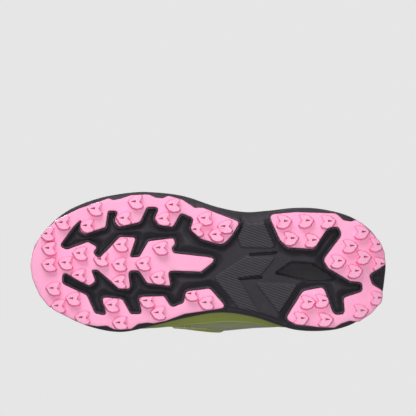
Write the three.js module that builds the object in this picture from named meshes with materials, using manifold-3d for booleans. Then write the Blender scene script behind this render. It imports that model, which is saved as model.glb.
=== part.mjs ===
// A trail running shoe for the left foot: a lugged rubber tread, a foam midsole and a laced fabric upper.
// Millimetres, +Z up. The toe points along -Y and the outer side of the foot faces +X.
import * as THREE from 'three';
import { mergeVertices } from 'three/addons/utils/BufferGeometryUtils.js';
import Module from 'manifold-3d';

const wasm = await Module();
wasm.setup();

// ---- Driving sizes ------------------------------------------------------------------------------
const shoeLength = 285;
const soleWidth = 112;
const lugHeight = 4;
const lugTaper = 0.82; // width at the ground over width at the root
const rubberThickness = 2.2;
const foamUnderBall = 19;
const foamUnderHeel = 29;
const toeSpring = 13; // how far the toe tip stands off the ground
const heelBevel = 6; // how far the back edge of the heel stands off the ground
const padProud = 1.6; // how far the grip pads stand off the foam
const heelRecessDepth = 7;
const rimInset = 2.5; // the top edge of the foam, in from the widest line
const lowerEdgeInset = 4.5; // the bottom edge of the foam, in from the widest line
const upperThickness = 2.2;
const throatRise = 0; // lifts the whole opening
const overlayThickness = 1;
const boardThickness = 1.8;
const insoleThickness = 5;
const tongueThickness = 5;
const collarPadding = 5;
const liningThickness = 1.2;
const laceRadius = 1.5;
const loopWidth = 5;
const strapThickness = 1;
const loopRows = 6;
const pullLoopHeight = 15; // between the centres of its round ends
const pullLoopWidth = 12;
const pullLoopRadius = 5.2; // of its round ends, outside
const pullLoopWall = 1.6;
const insoleMargin = 5; // between the edge of the insole and the edge of the board
const waistTuckDepth = 4.5; // the outer side of the waist is tucked in by this much more
const tabWidth = 15;
const tabHeight = 14;
const agletLength = 18;

// ---- Clearances ---------------------------------------------------------------------------------
const gap = 0.3;
const overlayGap = 0.45; // between skins that follow the same curved surface
const laceClearance = 0.5;

// ---- Outlines, seen from above ------------------------------------------------------------------
const drawnLength = 285;
const drawnWidth = 112;
const stretchX = soleWidth / drawnWidth;
const stretchY = shoeLength / drawnLength;
const toeY = -shoeLength / 2;
const heelY = shoeLength / 2;

// The widest line of the sole, from the toe tip round the outer side.
const soleLine = [
  [-3, -142.5], [12, -140], [27, -129.5], [40.5, -114], [51, -88.5], [56, -60], [56, -44], [53, -20],
  [44, 8], [40, 30], [41, 47], [43.5, 70], [42.5, 91], [35.5, 116], [22, 133.5], [1, 142.5],
  [-13.5, 142], [-26.5, 139.5], [-37, 132.5], [-47.5, 120], [-53.5, 105], [-55.5, 87], [-54.5, 70],
  [-51, 57], [-45, 39], [-41, 18], [-41, 4], [-45, -19], [-51.5, -46], [-56, -70], [-52, -94],
  [-43.5, -114], [-32, -130.5], [-18.5, -139.5],
];

// Corners of the rubber sheets, each [x, y, corner radius].
const forefootCorners = [
  // outer edge, with the scallops of the outer side
  [32, 25.5, 2.5], [43.5, -4, 4], [43.5, -10.5, 4], [50, -20.5, 6.5], [53, -31.5, 2.5], [51, -36, 2.5],
  [51.5, -41.5, 3], [54, -47, 5], [53.5, -61, 5], [50.5, -70, 5], [49.5, -75.5, 2.5], [51, -79, 3],
  [42.5, -103.5, 16], [34, -121, 12], [20, -135, 9.5], [7.5, -141, 8], [-3, -142.5, 6.5],
  [-13, -141, 8], [-26.5, -135, 9.5], [-35.5, -127.5, 6.5], [-43, -114, 16], [-49.5, -98.5, 6.5],
  [-51, -88, 5], [-50.5, -80.5, 4], [-53.5, -74.5, 4], [-53, -61, 3], [-49, -55.5, 3], [-48, -48.5, 3],
  [-48.5, -43, 3], [-46.5, -33.5, 6.5], [-41, -18.5, 6.5], [-36, 15, 3],
  // the inner channel, with its side branches
  [-20.5, 1.5, 4], [-23, -17.5, 4], [-32, -19.5, 3], [-36, -29, 4], [-26.5, -35, 3], [-27.5, -55.5, 3],
  [-41, -52.5, 2.5], [-41, -61.5, 2.5], [-29, -68, 4], [-27.5, -85, 3], [-42.5, -80.5, 2.5],
  [-40.5, -90, 3], [-26, -96.5, 5], [-17, -116.5, 3.5], [-7.5, -116, 3.5], [-19, -94.5, 4],
  [-15, -89.5, 2.5], [-6, -93, 3], [-6, -88, 3], [-20.5, -71, 3], [-21.5, -61.5, 3], [-6.5, -63.5, 3.5],
  [-6.5, -55, 3.5], [-16.5, -48.5, 4], [-19, -29.5, 2], [-6.5, -32, 3.5],
  // the point of the centre tongue
  [-7.5, -5.5, 3], [3.5, 8.5, 3.5],
  // the outer channel, with its side branches
  [7.5, -27.5, 3.5], [11.5, -29, 2.5], [14.5, -26, 2.5], [19.5, -27, 3], [17, -47.5, 2.5],
  [4.5, -54.5, 3], [4, -62.5, 2], [20, -57, 2.5], [20.5, -70, 2.5], [2.5, -87, 3.5], [8, -91.5, 2.5],
  [12, -88, 2], [16.5, -95.5, 3], [10, -113, 5], [13, -118.5, 3], [27.5, -108, 6.5], [34.5, -101, 1],
  [24.5, -102, 2.5], [22.5, -98, 2.5], [28, -81.5, 2], [41, -79.5, 2], [41, -71, 2.5], [33.5, -74.5, 3],
  [28, -71.5, 4], [32, -54, 4], [44, -48.5, 3], [44, -38.5, 3], [34, -43, 3], [30, -39.5, 4],
  [28, -28, 3], [39.5, -21.5, 3], [35, -11.5, 3], [26, -14, 4], [18.5, -5.5, 9.5], [13.5, 12, 11],
  [22, 19.5, 8],
];
const heelCorners = [
  [38, 48, 4], [40, 70, 16], [39, 102, 6.5], [33.5, 108, 4], [32.5, 114, 4], [34, 118.5, 3],
  [27.5, 127, 9.5], [16.5, 137, 9.5], [8, 141, 6.5], [-1.5, 141.5, 2.5], [-10, 128.5, 3],
  [-17.5, 131, 5], [-22.5, 139.5, 4], [-31.5, 138.5, 6.5], [-40.5, 130.5, 8], [-47.5, 120, 4],
  [-46.5, 113, 4], [-48.5, 106.5, 4], [-52, 100.5, 3], [-51.5, 87.5, 12], [-49, 69, 6.5],
  [-45, 61.5, 4], [-22.5, 75.5, 5.5], [-19.5, 92, 4], [-41.5, 100, 5], [-41.5, 109, 5],
  [-28, 107.5, 3], [-23, 123, 3.5], [-16, 122.5, 3], [-15, 113, 4], [-4.5, 95.5, 4], [2, 91.5, 4],
  [22, 106.5, 5], [28.5, 103.5, 3.5], [27.5, 95.5, 4], [10.5, 84, 3], [12, 62.5, 5], [18, 57, 5],
];
const padCorners = [
  [[32.5, 29, 2], [33, 44.5, 2], [13, 53.5, 2], [11, 50.5, 2], [11.5, 26, 2], [20, 23, 2]],
  [[4, 54.5, 2], [5.5, 31, 3], [-12, 4, 3], [-40, 27, 3], [-43, 43, 2], [-12.5, 25, 1], [-10.5, 42, 2]],
  [[-15.5, 37, 2], [-17.5, 72, 2], [-41, 56.5, 2]],
];
const recessCorners = [[-9, 51.5, 2], [1, 66.5, 4], [0, 83, 4], [-15.5, 108, 4], [-16, 80, 4]];

// Place of each arrow-shaped lug.
const forefootLugs = [
  [41, -88.5], [46.5, -56], [44, -26.5], [33.5, -1], [27, 15], [27.5, -95], [33.5, -65.5], [30, -114.5],
  [21, -127], [9.5, -125.5], [5.5, -100.5], [-3.5, -125.5], [12.5, -68], [10, -36.5], [-3, -69],
  [-2.5, -50], [-12, -101.5], [-17, -69.5], [-13.5, -38.5], [-22.5, -122], [-30.5, -106],
  [-36.5, -118], [-35.5, -75], [-45.5, -98.5], [-49.5, -68.5], [-41.5, -38], [-33.5, 0], [-2, -112],
  [1, -83.5], [-32, -47], [-26.5, -12], [33, -34.5], [24.5, -8], [20.5, 8],
];
const heelLugs = [
  [31, 59], [31.5, 76.5], [31, 94], [17.5, 64.5], [16, 81.5], [22.5, 121], [12.5, 133], [11.5, 111.5],
  [2.5, 122.5], [-0.5, 102], [-3, 136], [-8.5, 115.5], [-30, 134], [-40, 120], [-33, 78], [-32, 89.5],
  [-46, 72.5], [-47, 92],
];
// Outline of a lug at its root: its blunt nose leads and a notch trails.
const lugOutline = [
  [1.2, -8.2], [2.5, -8.2], [6, -4.2], [7.5, 1.8], [6.5, 4.8], [1.6, 1.6], [-2, 5.3], [-4.4, 3.8],
  [-5.2, -1.2], [-3.6, -5.2],
];

// ---- The upper ----------------------------------------------------------------------------------
// Sixteen sections, evenly spaced round the foot from the toe by the outer side. Each runs from the
// midsole up to the opening: where it ends, and how far its two handles lean out and climb.
const sections = [
  { end: [-2, -58, 66], low: [2, 30], high: [46, -3] },
  { end: [8, -56, 66.5], low: [3, 28], high: [38, -4] },
  { end: [16, -44, 69], low: [1, 26], high: [24, -6] },
  { end: [21, -22, 76], low: [0, 26], high: [20, -8] },
  { end: [25, 6, 85], low: [-2, 26], high: [14, -12] },
  { end: [29, 38, 93], low: [-2, 22], high: [6, -18] },
  { end: [32, 80, 82], low: [0, 16], high: [2, -12] },
  { end: [26, 112, 84], low: [3, 16], high: [-1, -14] },
  { end: [-3, 131, 97], low: [5, 18], high: [-3, -18] },
  { end: [-31, 116, 85], low: [3, 16], high: [0, -14] },
  { end: [-38, 84, 82], low: [0, 16], high: [4, -14] },
  { end: [-34, 42, 92], low: [17, 18], high: [22, -22] },
  { end: [-29, 8, 85], low: [27, 18], high: [32, -18] },
  { end: [-24, -20, 76], low: [14, 19], high: [30, -11] },
  { end: [-18, -44, 69], low: [2, 24], high: [26, -6] },
  { end: [-12, -56, 66.5], low: [3, 28], high: [36, -4] },
];

// ---- Small helpers ------------------------------------------------------------------------------
const vector = (x, y, z = 0) => new THREE.Vector3(x, y, z);
const mix = THREE.MathUtils.lerp;
const smooth = THREE.MathUtils.smoothstep;
const wrap = (u) => ((u % 1) + 1) % 1;
const stretched = ([x, y, radius]) => [x * stretchX, y * stretchY, radius];

function solidOf(geometry) {
  const bare = geometry.clone();
  bare.deleteAttribute('normal');
  bare.deleteAttribute('uv');
  const merged = mergeVertices(bare, 1e-4);
  const mesh = new wasm.Mesh({
    numProp: 3,
    vertProperties: new Float32Array(merged.attributes.position.array),
    triVerts: new Uint32Array(merged.index.array),
  });
  return new wasm.Manifold(mesh);
}

function geometryOf(solid) {
  const { vertProperties, triVerts } = solid.getMesh();
  const geometry = new THREE.BufferGeometry();
  geometry.setAttribute('position', new THREE.BufferAttribute(new Float32Array(vertProperties), 3));
  geometry.setIndex(new THREE.BufferAttribute(new Uint32Array(triVerts), 1));
  geometry.computeVertexNormals();
  return geometry;
}

function unite(solids) {
  return solids.reduce((whole, next) => whole.add(next));
}

// A closed outline with each corner [x, y, radius] rounded.
function roundedShape(corners) {
  const places = corners.map(stretched);
  const shape = new THREE.Shape();
  places.forEach(([x, y, radius], k) => {
    const [beforeX, beforeY] = places[(k + places.length - 1) % places.length];
    const [afterX, afterY] = places[(k + 1) % places.length];
    const corner = new THREE.Vector2(x, y);
    const back = new THREE.Vector2(beforeX - x, beforeY - y);
    const ahead = new THREE.Vector2(afterX - x, afterY - y);
    const halfAngle = Math.max(back.angleTo(ahead) / 2, 0.01);
    const trim = Math.min(radius / Math.tan(halfAngle), back.length() * 0.48, ahead.length() * 0.48);
    const start = corner.clone().addScaledVector(back.normalize(), trim);
    const finish = corner.clone().addScaledVector(ahead.normalize(), trim);
    if (k === 0) {
      shape.moveTo(start.x, start.y);
    } else {
      shape.lineTo(start.x, start.y);
    }
    shape.quadraticCurveTo(x, y, finish.x, finish.y);
  });
  shape.closePath();
  return shape;
}

// An upright solid with the given outline.
function prism(shape, low = -40, high = 80, curveSegments = 1) {
  const geometry = new THREE.ExtrudeGeometry(shape, {
    depth: high - low, bevelEnabled: false, curveSegments,
  });
  return solidOf(geometry.translate(0, 0, low));
}

// ---- Heights of the sole's layers along the shoe ------------------------------------------------
const treadFlatFrom = -60 * stretchY;
const treadFlatTo = 98 * stretchY;

function groundLift(y) {
  if (y < treadFlatFrom) {
    return toeSpring * ((treadFlatFrom - y) / (treadFlatFrom - toeY)) ** 2;
  }
  return y > treadFlatTo ? heelBevel * ((y - treadFlatTo) / (heelY - treadFlatTo)) ** 2 : 0;
}
const treadRoot = (y) => groundLift(y) + lugHeight;
const rubberTop = (y) => treadRoot(y) + rubberThickness;
const foamBottom = (y) => rubberTop(y) + gap;
function foamTop(y) {
  const toeTaper = 3 * smooth(-y, -treadFlatFrom, -toeY);
  return foamBottom(y) - toeTaper + mix(foamUnderBall, foamUnderHeel, smooth(y, -60, 60));
}
const boardBottom = (y) => foamTop(y) + gap;
const boardTop = (y) => boardBottom(y) + boardThickness;
const insoleBottom = (y) => boardTop(y) + gap;
const insoleTop = (y) => insoleBottom(y) + insoleThickness;

// A layer as wide as needed, between two heights that change along the shoe.
const layerStep = 12;
function layer(lower, upper) {
  const halfSpan = 200;
  const stations = [];
  for (let y = toeY - 18; y <= heelY + 18; y += layerStep) {
    stations.push(y);
  }
  const shape = new THREE.Shape(stations.map((y) => new THREE.Vector2(y, lower(y))));
  stations.reverse().forEach((y) => shape.lineTo(y, upper(y)));
  const geometry = new THREE.ExtrudeGeometry(shape, { depth: 2 * halfSpan, bevelEnabled: false });
  geometry.translate(0, 0, -halfSpan);
  geometry.applyMatrix4(new THREE.Matrix4().makeBasis(vector(0, 1), vector(0, 0, 1), vector(1, 0)));
  return solidOf(geometry);
}

// ---- The line round the sole --------------------------------------------------------------------
const edgeCurve = new THREE.CatmullRomCurve3(
  soleLine.map(([x, y]) => vector(x * stretchX, y * stretchY)), true, 'centripetal',
);
edgeCurve.arcLengthDivisions = 800;

function soleEdge(u, inset = 0) {
  const point = edgeCurve.getPointAt(wrap(u));
  const ahead = edgeCurve.getTangentAt(wrap(u));
  return point.addScaledVector(vector(ahead.y, -ahead.x), -inset);
}

function insetShape(inset, steps = 44) {
  const points = [];
  for (let k = 0; k < steps; k += 1) {
    const { x, y } = soleEdge(k / steps, inset);
    points.push(new THREE.Vector2(x, y));
  }
  return new THREE.Shape(points);
}

// ---- Closed skins from two grids of points ------------------------------------------------------
// outer[i][j] and inner[i][j] are opposite points; the skin closes on itself along i when it wraps.
function skin(outer, inner, wraps) {
  const columns = outer.length;
  const rows = outer[0].length;
  const points = [...outer.flat(), ...inner.flat()];
  const out = (i, j) => (i % columns) * rows + j;
  const back = (i, j) => columns * rows + out(i, j);
  const faces = [];
  const quad = (a, b, c, d) => faces.push(a, b, c, a, c, d);
  const spans = wraps ? columns : columns - 1;
  for (let i = 0; i < spans; i += 1) {
    for (let j = 0; j < rows - 1; j += 1) {
      quad(out(i, j), out(i + 1, j), out(i + 1, j + 1), out(i, j + 1));
      quad(back(i, j), back(i, j + 1), back(i + 1, j + 1), back(i + 1, j));
    }
    quad(out(i, 0), back(i, 0), back(i + 1, 0), out(i + 1, 0));
    quad(out(i, rows - 1), out(i + 1, rows - 1), back(i + 1, rows - 1), back(i, rows - 1));
  }
  for (let j = 0; j < rows - 1 && !wraps; j += 1) {
    const last = columns - 1;
    quad(out(0, j), out(0, j + 1), back(0, j + 1), back(0, j));
    quad(out(last, j), back(last, j), back(last, j + 1), out(last, j + 1));
  }
  const geometry = new THREE.BufferGeometry().setFromPoints(points);
  geometry.setIndex(faces);
  return geometry;
}

// ---- Points on the upper ------------------------------------------------------------------------
const curveThrough = (points) => new THREE.CatmullRomCurve3(points, true, 'catmullrom', 0.5);
const openingCurve = curveThrough(
  sections.map(({ end: [x, y, z] }) => vector(x * stretchX, y * stretchY, z + throatRise)),
);
const lowHandles = curveThrough(sections.map(({ low }) => vector(low[0], low[1])));
const highHandles = curveThrough(sections.map(({ high }) => vector(high[0], high[1])));
const upperInset = rimInset + 1;

// u runs once round the foot, v from the midsole (0) to the opening (1).
function upperSurface(u, v) {
  const turn = wrap(u);
  const base = soleEdge(turn, upperInset);
  base.z = foamTop(base.y) + gap;
  const ahead = edgeCurve.getTangentAt(turn);
  const outward = vector(ahead.y, -ahead.x);
  const low = lowHandles.getPoint(turn);
  const high = highHandles.getPoint(turn);
  const end = openingCurve.getPoint(turn);
  const first = base.clone().addScaledVector(outward, low.x).add(vector(0, 0, low.y));
  const second = end.clone().addScaledVector(outward, high.x).add(vector(0, 0, high.y));
  return new THREE.CubicBezierCurve3(base, first, second, end).getPoint(v);
}

// The surface's own axes: along the foot, across towards the opening, and straight out.
function upperAxes(u, v) {
  const step = 0.004;
  const along = upperSurface(u + step, v).sub(upperSurface(u - step, v)).normalize();
  const low = Math.max(v - step, 0);
  const high = Math.min(v + step, 1);
  const across = upperSurface(u, high).sub(upperSurface(u, low)).normalize();
  const out = along.clone().cross(across).normalize();
  return { along, across: out.clone().cross(along).normalize(), out };
}

function upperPoint(u, v, offset) {
  return upperSurface(u, v).addScaledVector(upperAxes(u, v).out, offset);
}

// A piece that follows the upper between two offsets. place(a, b) gives [u, v] for a and b from 0 to 1.
function piece(place, from, to, columns, rows, wraps = false) {
  const grid = (offset) => {
    const lines = [];
    for (let i = 0; i < columns + (wraps ? 0 : 1); i += 1) {
      const line = [];
      for (let j = 0; j <= rows; j += 1) {
        const [u, v] = place(i / columns, j / rows);
        line.push(upperPoint(u, v, typeof offset === 'function' ? offset(u, v) : offset));
      }
      lines.push(line);
    }
    return lines;
  };
  return skin(grid(to), grid(from), wraps);
}

const overlayFrom = overlayGap;
const overlayTo = overlayGap + overlayThickness;
const overlay = (place, columns, rows) => piece(place, overlayFrom, overlayTo, columns, rows);
// The same place on the other side of the foot.
const mirrored = (place) => (a, b) => {
  const [u, v] = place(1 - a, b);
  return [1 - u, v];
};

// ---- Materials ----------------------------------------------------------------------------------
const material = (color, roughness, metalness = 0) => (
  new THREE.MeshStandardMaterial({ color, roughness, metalness })
);
const pinkRubber = material(0xf9b2d2, 0.62);
const blackFoam = material(0x33313a, 0.7);
const limeMesh = material(0xa3a878, 0.85);
const limeFilm = material(0x8f9a3c, 0.5);
const greyFabric = material(0x4a4a50, 0.9);
const insoleFabric = material(0x4f4d55, 0.9);
const boardFelt = material(0xb9b4a8, 0.95);
const laceYarn = material(0xf0a9c6, 0.8);
const clearTip = material(0x2d2b31, 0.3);

const shoe = new THREE.Group();
function add(name, geometry, look) {
  const mesh = new THREE.Mesh(geometry, look);
  mesh.name = name;
  shoe.add(mesh);
  return mesh;
}

// ---- Sole ---------------------------------------------------------------------------------------
function lug([x, y], pointing) {
  const shape = new THREE.Shape(lugOutline.map(([a, b]) => new THREE.Vector2(a, b * pointing)));
  const height = lugHeight + rubberThickness + toeSpring;
  const geometry = new THREE.ExtrudeGeometry(shape, { depth: height, bevelEnabled: false });
  const place = geometry.attributes.position;
  for (let k = 0; k < place.count; k += 1) {
    const spread = mix(lugTaper, 1, place.getZ(k) / lugHeight);
    place.setXY(k, place.getX(k) * spread, place.getY(k) * spread);
  }
  const placeY = y * stretchY;
  return solidOf(geometry.translate(x * stretchX, placeY, groundLift(placeY)));
}

// One rubber sheet with its lugs, trimmed to the sheet's own outline.
function tread(corners, lugs, pointing) {
  const sheet = layer(treadRoot, rubberTop);
  const belowTop = layer(() => -20, (y) => rubberTop(y) - rubberThickness / 3);
  const allLugs = unite(lugs.map((place) => lug(place, pointing))).intersect(belowTop);
  return sheet.add(allLugs).intersect(prism(roundedShape(corners)));
}

// The foam is tucked in further below the outer side of the waist.
function waistTuck(point) {
  const fromWaist = (point.y - 38 * stretchY) / 17;
  return point.x > 0 ? waistTuckDepth * Math.exp(-(fromWaist ** 2)) : 0;
}

function midsole() {
  const steps = 76;
  const ring = (inset, height, tucked) => Array.from({ length: steps }, (_, k) => {
    const point = soleEdge(k / steps, inset);
    const moved = tucked ? soleEdge(k / steps, inset + waistTuck(point)) : point;
    return moved.setZ(height(moved.y));
  });
  const flare = (y) => mix(foamBottom(y), foamTop(y), 0.38);
  const shoulder = (y) => foamTop(y) - 4;
  const profile = [
    ring(lowerEdgeInset, (y) => foamBottom(y) - 20, true),
    ring(lowerEdgeInset, foamBottom, true),
    ring(lowerEdgeInset * 0.3, (y) => foamBottom(y) + 2.5, true),
    ring(0, flare, false),
    ring(rimInset * 0.4, shoulder, false),
    ring(rimInset, foamTop, false),
    ring(rimInset, (y) => foamTop(y) + 20, false),
  ];
  const columns = Array.from({ length: steps }, (_, k) => profile.map((line) => line[k]));
  const body = solidOf(cappedLoft(columns)).intersect(layer(foamBottom, foamTop));
  const pads = padCorners.map((corners) => prism(roundedShape(corners)));
  const proud = unite(pads).intersect(layer((y) => foamBottom(y) - padProud, (y) => foamBottom(y) + 2));
  const recess = prism(roundedShape(recessCorners))
    .intersect(layer(() => -20, (y) => foamBottom(y) + heelRecessDepth));
  return geometryOf(body.add(proud).subtract(recess));
}

// A tall body through rings of points, closed by a flat triangulation at both ends.
function cappedLoft(columns) {
  const count = columns.length;
  const rows = columns[0].length;
  const faces = [];
  for (let i = 0; i < count; i += 1) {
    const next = (i + 1) % count;
    for (let j = 0; j < rows - 1; j += 1) {
      faces.push(i * rows + j, next * rows + j, next * rows + j + 1);
      faces.push(i * rows + j, next * rows + j + 1, i * rows + j + 1);
    }
  }
  const cap = (row, turned) => {
    const contour = columns.map((column) => new THREE.Vector2(column[row].x, column[row].y));
    THREE.ShapeUtils.triangulateShape(contour, []).forEach(([a, b, c]) => {
      const corners = turned ? [a, c, b] : [a, b, c];
      faces.push(...corners.map((k) => k * rows + row));
    });
  };
  cap(0, true);
  cap(rows - 1, false);
  const geometry = new THREE.BufferGeometry().setFromPoints(columns.flat());
  geometry.setIndex(faces);
  return geometry;
}

add('outsole_forefoot', geometryOf(tread(forefootCorners, forefootLugs, 1)), pinkRubber);
add('outsole_heel', geometryOf(tread(heelCorners, heelLugs, -1)), pinkRubber);
add('midsole', midsole(), blackFoam);

// ---- Inside of the shoe -------------------------------------------------------------------------
const boardInset = upperInset + upperThickness + 2 * gap;
const insoleInset = boardInset + insoleMargin;
const board = prism(insetShape(boardInset)).intersect(layer(boardBottom, boardTop));
add('strobel_board', geometryOf(board), boardFelt);
const insole = prism(insetShape(insoleInset)).intersect(layer(insoleBottom, insoleTop));
add('sockliner', geometryOf(insole), insoleFabric);

// ---- Upper and what is bonded to it -------------------------------------------------------------
const aboveMidsole = layer((y) => foamTop(y) + gap, () => 250);
const wholeUpper = piece((a, b) => [a, b], -upperThickness, 0, 64, 10, true);
add('upper_mesh', geometryOf(solidOf(wholeUpper).intersect(aboveMidsole)), limeMesh);

const toeCap = (a, b) => {
  const u = mix(-0.115, 0.115, a);
  return [u, mix(0.015, 0.3 + 0.12 * Math.cos(Math.PI * (a - 0.5)), b)];
};
add('toe_cap', overlay(toeCap, 18, 6), blackFoam);

const rand = (a, b) => [mix(0.12, 0.395, a), mix(0.015, mix(0.24, 0.2, a) - 0.04 * Math.sin(Math.PI * a), b)];
add('rand_lateral', overlay(rand, 20, 2), limeFilm);
add('rand_medial', overlay(mirrored(rand), 20, 2), limeFilm);

const counter = (a, b) => [mix(0.4, 0.6, a), mix(0.015, 0.34 + 0.26 * Math.sin(Math.PI * a), b)];
add('heel_counter', overlay(counter, 18, 6), blackFoam);

const eyestay = (a, b) => [mix(0.012, 0.328, a), mix(0.8, 0.985, b)];
add('eyestay_lateral', overlay(eyestay, 24, 3), limeFilm);
add('eyestay_medial', overlay(mirrored(eyestay), 24, 3), limeFilm);

const saddle = (a, b) => [mix(0.19, 0.25, a) + 0.035 * b, mix(0.26, 0.77, b)];
add('saddle_lateral', overlay(saddle, 6, 8), limeFilm);
add('saddle_medial', overlay(mirrored(saddle), 6, 8), limeFilm);

// ---- Padded collar ------------------------------------------------------------------------------
const collarFrom = 0.33;
const collarTo = 0.67;
function collarDepth(u) {
  const ramp = smooth(u, collarFrom, collarFrom + 0.06) * smooth(-u, -collarTo, -collarTo + 0.06);
  return mix(1.2, collarPadding, ramp);
}
const foamFace = -upperThickness - overlayGap;
const collarPlace = (low, high) => (a, b) => [mix(collarFrom, collarTo, a), mix(low, high, b)];
const collarFoam = piece(collarPlace(0.62, 0.97), (u) => foamFace - collarDepth(u), foamFace, 24, 4);
add('collar_foam', collarFoam, greyFabric);
const liningFace = (u) => foamFace - collarDepth(u) - overlayGap;
const collarLining = piece(
  collarPlace(0.5, 0.99), (u) => liningFace(u) - liningThickness, liningFace, 24, 5,
);
add('collar_lining', collarLining, greyFabric);

// ---- Tongue -------------------------------------------------------------------------------------
// Its top face: the middle line in side view, as [y, z], and half its width there.
const tongueLine = new THREE.CatmullRomCurve3([
  [-66, 60.6, 14], [-52, 65, 17], [-40, 69.5, 21], [-22, 76.5, 24], [6, 86.5, 26], [36, 96.5, 26],
  [54, 107.5, 24], [64, 118.5, 19],
].map(([y, z, half]) => vector(half, y * stretchY, z + throatRise)));
const tongueCrown = 0.0125; // how fast the face falls away sideways, per millimetre

function tonguePoint(along, side, depth) {
  const { x: half, y, z } = tongueLine.getPoint(along);
  const ahead = tongueLine.getTangent(along);
  const up = vector(0, -ahead.z, ahead.y).normalize();
  const x = half * side;
  const middle = (openingCurve.getPoint(0.25).x + openingCurve.getPoint(0.75).x) / 2;
  return vector(middle + x, y, z - tongueCrown * x * x).addScaledVector(up, -depth);
}

function tongue() {
  const columns = 16;
  const rows = 8;
  const grid = (depth) => Array.from({ length: columns + 1 }, (_, i) => (
    Array.from({ length: rows + 1 }, (__, j) => tonguePoint(i / columns, 1 - (2 * j) / rows, depth))
  ));
  return skin(grid(0), grid(tongueThickness), false);
}
add('tongue', tongue(), greyFabric);

function tongueTab() {
  const tab = new THREE.BoxGeometry(tabWidth, strapThickness * 1.5, tabHeight);
  const top = tonguePoint(1, 0, tongueThickness / 2);
  const ahead = tongueLine.getTangent(1);
  const mesh = add('tongue_tab', tab, limeFilm);
  mesh.rotation.x = Math.atan2(ahead.z, ahead.y) - Math.PI / 2;
  mesh.position.copy(top).addScaledVector(vector(0, ahead.y, ahead.z).normalize(), tabHeight / 2 + gap);
}
tongueTab();

// ---- Lace loops and lace ------------------------------------------------------------------------
const loopFoot = overlayTo + gap;
const loopInnerHeight = 2 * laceRadius + 3.4 * laceClearance;
const loopInnerHalf = laceRadius + 4 * laceClearance;
const loopV = 0.925;
const loopTurns = Array.from({ length: loopRows }, (_, row) => mix(0.102, 0.303, row / (loopRows - 1)));
const laceHeight = overlayTo + gap + laceClearance * 0.6 + laceRadius;

function loopGeometry() {
  const shape = new THREE.Shape();
  const outerHalf = loopInnerHalf + strapThickness;
  shape.moveTo(outerHalf, 0);
  shape.absellipse(0, 0, outerHalf, loopInnerHeight + strapThickness, 0, Math.PI);
  shape.lineTo(-loopInnerHalf, 0);
  shape.absellipse(0, 0, loopInnerHalf, loopInnerHeight, Math.PI, 0, true);
  shape.closePath();
  const geometry = new THREE.ExtrudeGeometry(shape, {
    depth: loopWidth, bevelEnabled: false, curveSegments: 5,
  });
  return geometry.translate(0, 0, -loopWidth / 2);
}

function lacePoint(u, slide) {
  const { along, out } = upperAxes(u, loopV);
  return upperSurface(u, loopV).addScaledVector(out, laceHeight).addScaledVector(along, slide);
}

loopTurns.forEach((turn, row) => {
  [['lateral', turn], ['medial', 1 - turn]].forEach(([side, u]) => {
    const { along, across, out } = upperAxes(u, loopV);
    const mesh = add(`lace_loop_${side}_${row + 1}`, loopGeometry(), limeFilm);
    mesh.position.copy(upperSurface(u, loopV).addScaledVector(out, loopFoot));
    mesh.quaternion.setFromRotationMatrix(new THREE.Matrix4().makeBasis(across, out, along));
  });
});

// Height of the tongue's top face at a place along the shoe.
function tongueHeight(y) {
  const along = Array.from({ length: 101 }, (_, k) => k / 100);
  const nearest = along.reduce((best, next) => (
    Math.abs(tongueLine.getPoint(next).y - y) < Math.abs(tongueLine.getPoint(best).y - y) ? next : best
  ));
  return tongueLine.getPoint(nearest).z;
}

function crossing(fromU, toU, storey) {
  const middle = lacePoint(fromU, 0).add(lacePoint(toU, 0)).multiplyScalar(0.5);
  const rest = tongueHeight(middle.y) + laceClearance + laceRadius;
  return middle.setZ(rest + 1 + storey * (2 * laceRadius + laceClearance));
}

// Where a strand passes over the edge of the opening, a little way from one loop towards the next.
function overEdge(u, nextU, storey) {
  const place = mix(u, nextU, 0.25);
  const height = overlayTo + laceRadius + laceClearance + 0.7 * storey;
  return upperSurface(place, 1).addScaledVector(upperAxes(place, 0.995).out, height);
}

const route = (points) => new THREE.CatmullRomCurve3(points, false, 'centripetal');

function tube(points, steps) {
  const section = new THREE.Shape();
  section.absarc(0, 0, laceRadius, 0, 2 * Math.PI);
  return solidOf(new THREE.ExtrudeGeometry(section, {
    steps, extrudePath: route(points), bevelEnabled: false, curveSegments: 4,
  }));
}

// How far past the middle of a loop the lace runs straight.
const slide = loopWidth / 2 + laceRadius + 3 * laceClearance;
const knotTurn = loopTurns[loopRows - 1];
const knotSize = vector(6.5, 4.6, 4);
const knot = crossing(knotTurn, 1 - knotTurn, 0).add(vector(0, 6));
knot.z = tongueHeight(knot.y) + 1.6 * knotSize.z;

// One strand climbs the throat from the first row, crossing to the other side at each row.
function strand(startsLateral, storey) {
  const points = [];
  const sideTurn = (row, lateral) => (lateral ? loopTurns[row] : 1 - loopTurns[row]);
  const rowStep = loopTurns[1] - loopTurns[0];
  loopTurns.forEach((_, row) => {
    const lateral = startsLateral === (row % 2 === 0);
    const way = lateral ? 1 : -1;
    const u = sideTurn(row, lateral);
    points.push(lacePoint(u, -way * slide), lacePoint(u, 0), lacePoint(u, way * slide));
    points.push(overEdge(u, u + way * rowStep * 1.6, storey));
    if (row < loopRows - 1) {
      const nextU = sideTurn(row + 1, !lateral);
      points.push(
        crossing(u, nextU, storey),
        overEdge(nextU, nextU + way * rowStep * 1.6, storey),
      );
    }
  });
  return points;
}

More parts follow.
